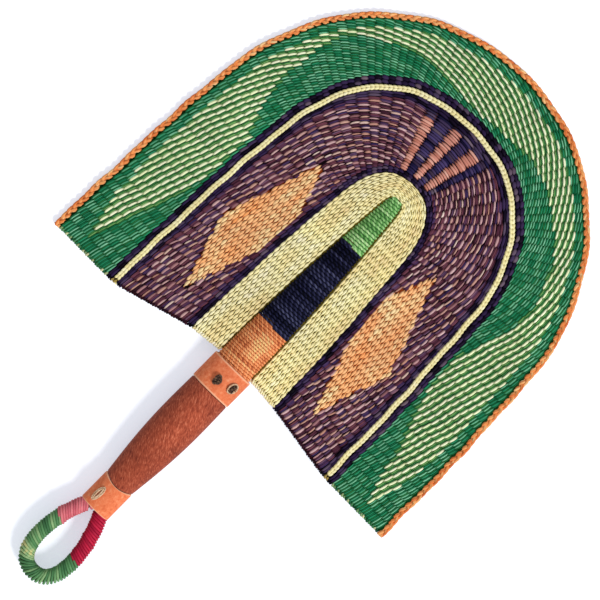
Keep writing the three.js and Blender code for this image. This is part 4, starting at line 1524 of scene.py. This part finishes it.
@dataclass
class Handle:
    """The leather sleeve and collars of the handle over its bundle of stems.

    Heights run down from 0 at the root of the spine, along the handle, which leans a little.

    Args:
        top: half width and half thickness of the bundle at the top of the grip.
        bottom: the same at the bottom of the grip.
        swell: how much it swells between them.
        grip: top and bottom of the grip, given as for the two collars.
        lip: how far the grip's edge and the lower collar's hang down in the middle.
        edge_bend: radius of the rounded edges, as a share of the leather's thickness.
        inner_inset: how far from the edges the points along the leather's inside begin.
        inner_rise: height of the inside over the bundle, at the edges and between them.
    """

    top: Pair = (12.8, 8.9)
    bottom: Pair = (8.9, 6.0)
    swell: Pair = (1.9, 1.3)
    gap: float = 0.3
    upper_collar: Pair = (0.0, -20.8)
    grip: Pair = (-21.1, -102.1)
    lower_collar: Pair = (-102.4, -123.8)
    grip_leather: float = 1.4
    collar_leather: float = 1.8
    lip: float = 1.9
    sides: int = 72
    edge_bend: float = 0.45
    edge_steps: int = 5
    steps: int = 41
    inner_steps: int = 9
    inner_inset: float = 0.2
    inner_rise: Pair = (0.15, 0.02)

    def turned(self, points: Array) -> Array:
        """Turns points of the handle to its lean and sets them into the frame."""
        x, y = points[..., 0], points[..., 1] - SPREAD.lean_height
        cos, sin = math.cos(SPREAD.handle_lean), math.sin(SPREAD.handle_lean)
        return np.stack([x * cos - y * sin, SPREAD.lean_height + SPREAD.root + x * sin + y * cos,
                         points[..., 2]], axis=-1)

    def bundle(self, y: Array) -> tuple[Array, Array]:
        """Half width and half thickness of the bare bundle at a height."""
        share = np.clip((self.grip[0] - y) / (self.grip[0] - self.grip[1]), 0, 1)
        belly = np.sin(np.pi * share)
        return tuple(lerp(self.top[axis], self.bottom[axis], share) + self.swell[axis] * belly
                     for axis in (0, 1))

    def on_collar(self, across: float, y: float, rise: float, shape: Array) -> Array:
        """Lays a small shape on a collar's front.

        Args:
            across: place of the shape's middle across the collar.
            y: height of its middle.
            rise: how far its middle stands off the leather.
            shape: points of the shape, each as across, along and out.

        Returns:
            The points in the handle's own heights.
        """
        half_width, half_thick = (float(size) + self.gap + self.collar_leather for size in self.bundle(y))
        angle = math.asin(across / half_width)
        out = unit(np.array([math.sin(angle) / half_width, 0.0, math.cos(angle) / half_thick]))
        foot = np.array([across, y, SPREAD.handle_height + half_thick * math.cos(angle)]) + out * rise
        return foot + shape @ np.array([[out[2], 0.0, -out[0]], [0.0, 1.0, 0.0], out])

    def profile(self, span: Pair, leather: float) -> list[Pair]:
        """Height and rise over the bundle of each point round a lengthwise cut through the leather.

        Args:
            span: its top and bottom.
            leather: its thickness.

        Returns:
            The points.
        """
        top, bottom = span
        bend = self.edge_bend * leather
        turn = np.linspace(0, np.pi / 2, self.edge_steps)
        edge = [(bend * (1 - math.cos(a)), leather - bend * (1 - math.sin(a))) for a in turn]
        outside = np.linspace(top - bend, bottom + bend, self.steps)[1:-1]
        inside = np.linspace(bottom + self.inner_inset, top - self.inner_inset, self.inner_steps)
        at_edge, between = self.inner_rise
        return ([(top, at_edge)] + [(top - down, rise) for down, rise in edge]
                + [(y, leather) for y in outside]
                + [(bottom + down, rise) for down, rise in edge[::-1]]
                + [(bottom, at_edge)] + [(y, between) for y in inside])

    def sleeve(self, name: str, span: Pair, leather: float, lips: Pair,
               material: Leather, slot: str) -> None:
        """Builds a leather tube with rounded edges, flat underneath where it lies on the table.

        Args:
            name: the CAD node that it stands for.
            span: its top and bottom.
            leather: thickness of the leather.
            lips: how far the middle of its top and of its bottom edge hangs down below the sides.
            material: its leather.
            slot: its material slot.
        """
        top, bottom = span
        angle = 2 * np.pi * np.arange(self.sides) / self.sides
        rings, edges = [], []
        for y, rise in self.profile(span, leather):
            cut = min(top - y, y - bottom) < self.edge_bend * leather
            edges.append(float(cut and material is Leather.COLLAR))
            share = (top - y) / (top - bottom)
            sag = -lips[0] * (1 - share) ** 5 - lips[1] * share ** 4
            height = y + sag * (1 - 1.5 * np.sin(angle) ** 2)
            half_width, half_thick = (size + self.gap + rise for size in self.bundle(height))
            z = np.maximum(SPREAD.handle_height + half_thick * np.cos(angle), leather - rise)
            rings.append(np.stack([half_width * np.sin(angle), height, z], axis=1))
        count, sides = len(rings), self.sides
        faces = [(ring * sides + side, ring * sides + (side + 1) % sides,
                  (ring + 1) % count * sides + (side + 1) % sides, (ring + 1) % count * sides + side)
                 for ring in range(count) for side in range(sides)]
        mesh = solid_mesh(name + "_leather", self.turned(np.concatenate(rings)), faces)
        set_values(mesh, "edge", np.repeat(edges, sides))
        mesh.materials.append(finish_of(material))
        seat(show(name + "_leather", mesh), slot, [name])

    def build(self) -> None:
        """Builds the leather and dresses the stems inside."""
        collar = Leather.COLLAR, "collar_leather"
        self.sleeve("upper_collar", self.upper_collar, self.collar_leather, (0.0, 0.0), *collar)
        self.sleeve("grip_leather", self.grip, self.grip_leather, (0.0, self.lip), Leather.SUEDE,
                    "grip_suede")
        self.sleeve("lower_collar", self.lower_collar, self.collar_leather, (self.lip, 0.0), *collar)
        Laces(self).build()
        for node in ("handle_core", "loop_core"):
            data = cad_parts[node].data
            data.materials.clear()
            data.materials.append(finish_of(Stem.WOOD))


def lace_ring(width: float, length: float, skew: float, wave: float) -> Array:
    """Points of a lace ring that lies askew, and rises and dips twice on its way round."""
    around = np.linspace(0, 2 * np.pi, 41)
    return np.stack([width * np.cos(around) + skew * np.sin(around), length * np.sin(around),
                     wave * np.cos(2 * around)], axis=1)


def lace_bar(middle: Pair, reach: Pair, height: float,
             lift: float) -> Array:
    """Points of a short straight lace that rises over its middle, and reaches as far to either side."""
    step = np.linspace(-1, 1, 13)
    return np.stack([middle[0] + reach[0] * step, middle[1] + reach[1] * step,
                     height * np.cos(step * np.pi / 2) + lift], axis=1)


@dataclass
class Laces:
    """The two lace knots of the upper collar and the lace loop of the lower one.

    Args:
        left: place of the left knot across and along the handle, given as for the right one.
        low: place of the loop, across the handle and down from the top of its collar.
        knot_size: size of the left knot, across, along and out.
        knot_rise: how far its middle stands off the leather.
        ring_size: half width, half length, skew and wave of the right knot's ring.
        lump: middle, reach, height and lift of the pale end laid across the ring.
        bars: shift across and lean of the dark laces inside the ring.
        bar_size: half length and height of these.
        ovals: half width, half length, skew, wave and rise of the two turns of the loop.
    """

    handle: Handle
    left: Pair = (-1.3, -12.0)
    right: Pair = (8.8, -9.5)
    low: Pair = (-4.4, -12.0)
    sides: int = 8
    knot_size: tuple[float, float, float] = (0.7, 1.05, 0.7)
    knot_radius: float = 0.85
    knot_rise: float = 1.3
    ring_size: tuple[float, float, float, float] = (2.7, 3.6, 0.4, 0.25)
    ring_radius: float = 0.52
    ring_rise: float = 0.9
    lump: tuple[Pair, Pair, float, float] = (
        (1.3, -0.9), (-0.5, 1.1), 1.3, 0.0)
    bars: Pairs = ((-1.0, 0.5), (0.8, -0.3), (0.0, 1.2))
    bar_size: Pair = (2.6, 0.9)
    bar_radius: float = 0.7
    bar_rise: float = 0.8
    ovals: tuple[tuple[float, ...], ...] = ((1.95, 5.2, 0.5, 0.2, 0.7), (0.975, 4.16, 0.25, 0.2, 1.0))
    oval_radius: float = 0.55

    def lace(self, name: str, paths: Sequence[Array], radius: float, material: Leather,
             node: str) -> None:
        """Builds a piece of lace from paths in the handle's own heights."""
        runs = Runs()
        for path in paths:
            runs.add(self.handle.turned(path), 0.5)
        slot = "lace_dark" if material is Leather.DARK_LACE else "lace_pale"
        wind(name, runs, material, self.sides, radius, slot, [node])

    def knot(self) -> Array:
        """Points of the left knot: a lace that runs twice round and crosses itself."""
        around = np.linspace(0, 4 * np.pi, 81)
        lobes = 2 + np.cos(1.5 * around)
        across, along, out = self.knot_size
        return np.stack([across * lobes * np.cos(around), along * lobes * np.sin(around),
                         out * np.sin(1.5 * around)], axis=1)

    def build(self) -> None:
        """Builds both knots and the loop."""
        laid = self.handle.on_collar
        self.lace("upper_knot_left", [laid(*self.left, self.knot_rise, self.knot())], self.knot_radius,
                  Leather.DARK_LACE, "upper_lace_knot_left")
        pale = [laid(*self.right, self.ring_rise, shape)
                for shape in (lace_ring(*self.ring_size), lace_bar(*self.lump))]
        self.lace("upper_knot_right_ring", pale, self.ring_radius, Leather.PALE_LACE,
                  "upper_lace_knot_right")
        half_length, height = self.bar_size
        bars = [laid(*self.right, self.bar_rise,
                     lace_bar((shift, 0.0), (lean, half_length), height, 0.2 * shift))
                for shift, lean in self.bars]
        self.lace("upper_knot_right_strands", bars, self.bar_radius, Leather.DARK_LACE,
                  "upper_lace_knot_right")
        y = self.handle.lower_collar[0] + self.low[1]
        turns = [laid(self.low[0], y, rise, lace_ring(*size)) for *size, rise in self.ovals]
        self.lace("lower_lace", turns, self.oval_radius, Leather.PALE_LACE, "lower_lace_loop")


@dataclass
class Spine:
    """The strands wound round the spine: two-ply cord in close turns, in three colours.

    Args:
        ply_offset: how far the plies lie from the middle of the cord.
        ply_twist: length in which they turn once round each other.
        ply_shade: how much the tints of the two plies differ from the mean.
        bed_depth: how far the strand between the turns lies below them; it takes the darkest tint as painted
            shade in the groove.
        proud: how far the cord stands out past the row line.
        least_radius: half width of the last turn at the spine's tip.
        point_step: distance between the points of the cord.
        roundness: length of a turn as a share of one round a circle of its half width.
        shades: lowest and highest tint of the turns.
        patch_fade: distance across, over which a patch fades out.
        patch_ends: distance along, over which it does.
        patch_play: lowest and highest strength of the shade in it.
    """

    handle: Handle
    outline: RowLine
    thickness_ratio: float = 8.5 / 13.5
    ply_radius: float = 0.62
    ply_offset: float = 0.42
    ply_twist: float = 4.0
    ply_shade: float = 0.15
    bed_depth: float = 0.55
    proud: float = 0.05
    least_radius: float = 0.4
    profile_steps: int = 400
    point_step: float = 0.8
    roundness: float = 0.83
    shades: Pair = (0.15, 0.75)
    patch_fade: Pair = (2.5, 6.5)
    patch_ends: float = 3.0
    patch_play: Pair = (0.5, 1.0)
    sides: int = 5

    def profile(self, start: float, end: float) -> Array:
        """Height and half width of the middle of the cord, from one height of the spine to another."""
        y = lerp(start, end, np.linspace(0, 1, self.profile_steps))
        half_width = self.outline.half_width(y) - self.ply_radius - self.ply_offset + self.proud
        return np.stack([y, np.maximum(half_width, self.least_radius)], axis=1)

    def near_patch(self, middle: Array, y: Array, patch: tuple[float, float, float]) -> Array:
        """Says how far each point of the cord lies in a patch on the fan's face, from 0 to 1."""
        across, low, high = patch
        near = 1 - smoothstep(np.abs(middle[:, 0] - across), *self.patch_fade)
        near *= smoothstep(y, low - self.patch_ends, low + self.patch_ends)
        near *= 1 - smoothstep(y, high - self.patch_ends, high + self.patch_ends)
        return near * (middle[:, 2] > SPREAD.handle_height)

    def wound(self, start: float, end: float, pitch: float, seed: int,
              patch: tuple[float, float, float] | None) -> Runs:
        """Winds the cord from one height to another. Its first and last half turns are level.

        Args:
            start: height of the first turn.
            end: height of the last turn.
            pitch: height of one turn.
            seed: start of the random draws.
            patch: place across, and lowest and highest height, of a patch of the palest shade.

        Returns:
            Both plies of the cord, and the strand that fills the groove between its turns, in the darkest
            tint as painted shade.
        """
        profile = self.profile(start, end)
        climb = run_along(profile)
        turns = max(1, round(climb[-1] / pitch))
        per_turn = round(2 * np.pi * profile[:, 1].mean() * self.roundness / self.point_step)
        angle = 2 * np.pi * np.linspace(0, turns, turns * per_turn + 1)
        step = np.clip((angle / np.pi - 1) / (2 * turns - 2), 0, 1)
        y, half_width = (np.interp(step * climb[-1], climb, profile[:, axis]) for axis in (0, 1))
        round_x, round_z = np.sin(angle), self.thickness_ratio * np.cos(angle)
        out = unit(np.stack([round_x * self.thickness_ratio, 0 * y, np.cos(angle)], axis=1))
        middle = np.stack([half_width * round_x, y, SPREAD.handle_height + half_width * round_z], axis=1)
        run = run_along(middle)
        draw = np.random.default_rng(seed)
        shade = by_half_turns(draw, angle, *self.shades)
        if patch:
            near = self.near_patch(middle, y, patch)
            shade = lerp(shade, 1.0, near * draw.uniform(*self.patch_play, len(y)))
        runs = Runs()
        along = np.array([0.0, 1.0, 0.0])
        for ply in (0, 1):
            twist = 2 * np.pi * run / self.ply_twist + np.pi * ply
            path = middle + self.ply_offset * (np.cos(twist)[:, None] * along + np.sin(twist)[:, None] * out)
            tint = np.clip(shade + (self.ply_shade if ply else -self.ply_shade), 0, 1)
            runs.add(self.handle.turned(path), tint)
        # Partly painted shade: the groove between the turns is filled with a strand in the dye's darkest
        # tint.
        between = middle + along * pitch / 2 - out * self.bed_depth
        runs.add(self.handle.turned(between[per_turn:-per_turn]), 0.0)
        return runs

    def build(self) -> None:
        """Builds the three windings."""
        windings = (
            ("orange", -0.5, 34.6, 1.8, Dye.SPINE_ORANGE, "grass_orange", (3.0, 11.0, 30.0)),
            ("navy", 35.4, 104.8, 2.05, Dye.SPINE_NAVY, "grass_navy", None),
            ("green", 105.8, 146.2, 2.0, Dye.SPINE_GREEN, "grass_leaf_green", None),
        )
        for count, (name, start, end, pitch, dye, slot, patch) in enumerate(windings):
            runs = self.wound(start, end, pitch, Seed.SPINE + count, patch)
            wind(f"spine_{name}_cord", runs, dye, self.sides, self.ply_radius, slot, ["spine_wrap_" + name])


@dataclass
class HangingLoop:
    """The stiff loop at the handle's end: strands in three colours wound close round a bent hoop.

    Args:
        leg_spread: distance of its legs from the middle where they leave the handle.
        leg_inset: the same at their hidden ends.
        tuck: length of the legs inside the collar.
        side_pull: how strongly its sides bulge, as a share of its half width.
        bottom_pull: how strongly its bottom does.
        wound_radius: radius of the winding.
        radius_play: how uneven the winding is.
        slant: how far the turns lie aslant.
        end_dip: how far a strand's end dips under its neighbours.
        end_turn: angle over which it does.
        lump_height: how far the turns rise over a tucked-in end.
        lump_length: how far along they do.
        pink_length: length of the pink winding below the collar.
        red_length: length of the crimson one.
        hidden: length of the winding inside the collar.
        shades: lowest and highest tint of the turns.
        lump_places: where ends are tucked in, before the pink winding's end and after the crimson start.
        pale_patch: where the green winding is palest, from its start.
        patch_fade: how far outside and inside the ends of this patch it starts and is full.
    """

    handle: Handle
    half_width: float = 14.8
    length: float = 55.0
    leg_spread: float = 5.3
    leg_inset: float = 3.9
    tuck: float = 9.0
    side_pull: float = 1.02
    bottom_pull: float = 1.36
    leg_steps: int = 30
    bend_steps: int = 200
    pitch: float = 1.85
    radius: float = 0.93
    wound_radius: float = 4.3
    radius_play: float = 0.2
    slant: float = 0.42
    end_dip: float = 1.0
    end_turn: float = 1.2
    lump_height: float = 0.5
    lump_length: float = 1.6
    pink_length: float = 19.5
    red_length: float = 33.0
    hidden: float = 1.5
    shades: Pair = (0.1, 0.6)
    lump_places: Pair = (1.0, 15.0)
    pale_patch: Pair = (26.0, 33.0)
    patch_fade: Pair = (3.0, 2.0)
    patch_play: Pair = (0.3, 1.0)
    per_turn: int = 28
    sides: int = 6

    def __post_init__(self) -> None:
        """Traces the middle line of the hoop from the left leg's top round to the right leg's."""
        end = self.handle.lower_collar[1]
        low = end - self.length
        leg = np.array([[-self.leg_inset, end + self.tuck], [-self.leg_spread, end]])
        side, bottom = self.side_pull * self.half_width, self.bottom_pull * self.half_width
        corners = np.array([leg[1], [-side, end - self.length / 3], [-bottom, low], [0.0, low]])
        t = np.linspace(0, 1, self.bend_steps)[:, None]
        bend = (corners[0] * (1 - t) ** 3 + corners[1] * 3 * t * (1 - t) ** 2
                + corners[2] * 3 * t ** 2 * (1 - t) + corners[3] * t ** 3)
        half = np.concatenate([lerp(*leg, np.linspace(0, 1, self.leg_steps)[:-1, None]), bend])
        self.line = np.concatenate([half, (half * (-1, 1))[::-1][1:]])
        self.run = run_along(self.line)

    def at(self, run: Array) -> tuple[Array, Array]:
        """Points of the hoop's middle line, and its direction there."""
        point, ahead, behind = (
            np.stack([np.interp(run + shift, self.run, self.line[:, axis]) for axis in (0, 1)], axis=1)
            for shift in (0, 0.5, -0.5))
        return point, unit(ahead - behind)

    def wound(self, start: float, end: float, seed: int, lump: float,
              patch: Pair | None) -> Runs:
        """Winds a strand round the hoop between two places along it.

        Args:
            start: place of the first turn.
            end: place of the last turn.
            seed: start of the random draws.
            lump: place where the turns ride over a tucked-in strand end.
            patch: places between which the strand takes its palest shade.

        Returns:
            The strand.
        """
        turns = round((end - start) / self.pitch)
        angle = 2 * np.pi * np.linspace(0, turns, turns * self.per_turn + 1)
        run = lerp(start, end, angle / angle[-1])
        point, along = self.at(run)
        across = np.stack([-along[:, 1], along[:, 0]], axis=1)
        draw = np.random.default_rng(seed)
        radius = self.wound_radius + self.lump_height * np.exp(-((run - lump) / self.lump_length) ** 2)
        radius += by_half_turns(draw, angle, -self.radius_play, self.radius_play)
        to_end = np.minimum(angle, angle[-1] - angle)
        radius -= self.end_dip * (1 - smoothstep(to_end, 0.0, self.end_turn))
        path = np.zeros((len(run), 3))
        path[:, :2] = point + (across + self.slant * along) * (radius * np.sin(angle))[:, None]
        path[:, 2] = SPREAD.handle_height + radius * np.cos(angle)
        shade = by_half_turns(draw, angle, *self.shades)
        if patch:
            (first, last), (outside, inside) = patch, self.patch_fade
            near = smoothstep(run, first - outside, first + inside)
            near *= 1 - smoothstep(run, last - inside, last + outside)
            shade = lerp(shade, 1.0, near * draw.uniform(*self.patch_play, len(run)))
        runs = Runs()
        runs.add(self.handle.turned(path), shade)
        return runs

    def build(self) -> None:
        """Builds the three windings."""
        first = self.tuck - self.hidden
        pink_end = self.tuck + self.pink_length + self.handle.gap
        red_start = self.run[-1] - self.tuck - self.red_length - self.handle.gap
        pale = tuple(pink_end + place for place in self.pale_patch)
        lumps = pink_end - self.lump_places[0], red_start + self.lump_places[1]
        windings = (
            ("pink", first, pink_end, Dye.LOOP_PINK, "strand_pink", lumps[0], None),
            ("green", pink_end, red_start, Dye.LOOP_GREEN, "grass_leaf_green", 0.0, pale),
            ("red", red_start, self.run[-1] - first, Dye.LOOP_RED, "strand_crimson", lumps[1], None),
        )
        for count, (name, start, end, dye, slot, lump, patch) in enumerate(windings):
            runs = self.wound(start, end, Seed.LOOP + count, lump, patch)
            wind(f"loop_{name}_strand", runs, dye, self.sides, self.radius, slot, ["loop_wrap_" + name])


# Stage


@dataclass(frozen=True)
class Studio:
    """White table, soft daylight from the fan's right, and the camera straight above.

    Args:
        view_centre: point under the camera, in millimetres.
        view_width: width of the picture on the table, in millimetres.
        table_glow: the light that only the camera sees it give, which keeps the shadows pale.
        sun_angle: how wide the sun is, which softens its shadows.
        sun_direction: which way it shines.
    """

    view_centre: Pair = (-0.25, 20.76)
    view_width: float = 378.0
    view_turn: float = math.radians(45.75)
    lens: float = 135.0
    sensor: float = 36.0
    far: float = 20.0
    table_size: float = 4.0
    table_colour: Colour = (0.8, 0.8, 0.82, 1.0)
    table_glow: Colour = (0.42, 0.45, 0.52, 1.0)
    sky_light: float = 0.5
    sun_light: float = 2.4
    sun_angle: float = math.radians(14)
    sun_direction: tuple[float, float, float] = (-1.0, 0.12, -1.0)

    def camera(self) -> None:
        """Hangs the camera over the fan, turned as in the photograph."""
        data = bpy.data.cameras.new("camera")
        data.lens = self.lens
        data.sensor_width = self.sensor
        data.clip_end = self.far
        camera = bpy.data.objects.new("camera", data)
        height = self.view_width * MM * self.lens / self.sensor
        camera.location = (self.view_centre[0] * MM, self.view_centre[1] * MM, height)
        camera.rotation_euler = (0.0, 0.0, self.view_turn)
        bpy.context.scene.collection.objects.link(camera)
        bpy.context.scene.camera = camera

    def table(self) -> None:
        """Lays the white table, which shows the fan's shadow."""
        half = self.table_size / 2
        mesh = bpy.data.meshes.new("table")
        mesh.from_pydata([(-half, -half, 0), (half, -half, 0), (half, half, 0), (-half, half, 0)], [],
                         [(0, 1, 2, 3)])
        shader = Shader("white_table")
        seen = shader.add("ShaderNodeLightPath").outputs["Is Camera Ray"]
        glow = shader.add("ShaderNodeEmission", {"Color": self.table_glow, "Strength": seen})
        both = shader.add("ShaderNodeAddShader", {0: shader.surface.outputs["BSDF"], 1: glow.outputs[0]})
        shader.join(shader.output.inputs["Surface"], both.outputs[0])
        mesh.materials.append(shader.dress(self.table_colour, roughness=0.9, specular=0.0))
        table = show("table", mesh)

    def light(self) -> None:
        """Sets the daylight: an even white sky and a soft sun from the fan's right."""
        world = bpy.data.worlds.new("daylight")
        world.use_nodes = True
        nodes = Nodes(world.node_tree)
        seen = nodes.add("ShaderNodeLightPath").outputs["Is Camera Ray"]
        strength = nodes.add("ShaderNodeMapRange", {"Value": seen, "To Min": self.sky_light, "To Max": 1.0})
        sky = world.node_tree.nodes["Background"].inputs
        nodes.join(sky["Color"], (1.0, 1.0, 1.0, 1.0))
        nodes.join(sky["Strength"], strength.outputs["Result"])
        bpy.context.scene.world = world
        sun = bpy.data.lights.new("sun", "SUN")
        sun.energy = self.sun_light
        sun.angle = self.sun_angle
        lamp = bpy.data.objects.new("sun", sun)
        lamp.rotation_euler = Vector(self.sun_direction).to_track_quat("-Z", "Y").to_euler()
        bpy.context.scene.collection.objects.link(lamp)

    def build(self) -> None:
        """Sets the whole stage."""
        bpy.context.scene.view_settings.view_transform = "Standard"
        self.camera()
        self.table()
        self.light()


def main() -> None:
    """Builds the stage and the fan."""
    logging.basicConfig(level=logging.INFO, format="%(name)s: %(message)s")
    Studio().build()
    blade = Blade()
    blade.build()
    handle = Handle()
    handle.build()
    Spine(handle, blade.spine).build()
    HangingLoop(handle).build()


if __name__ == "__main__":
    main()
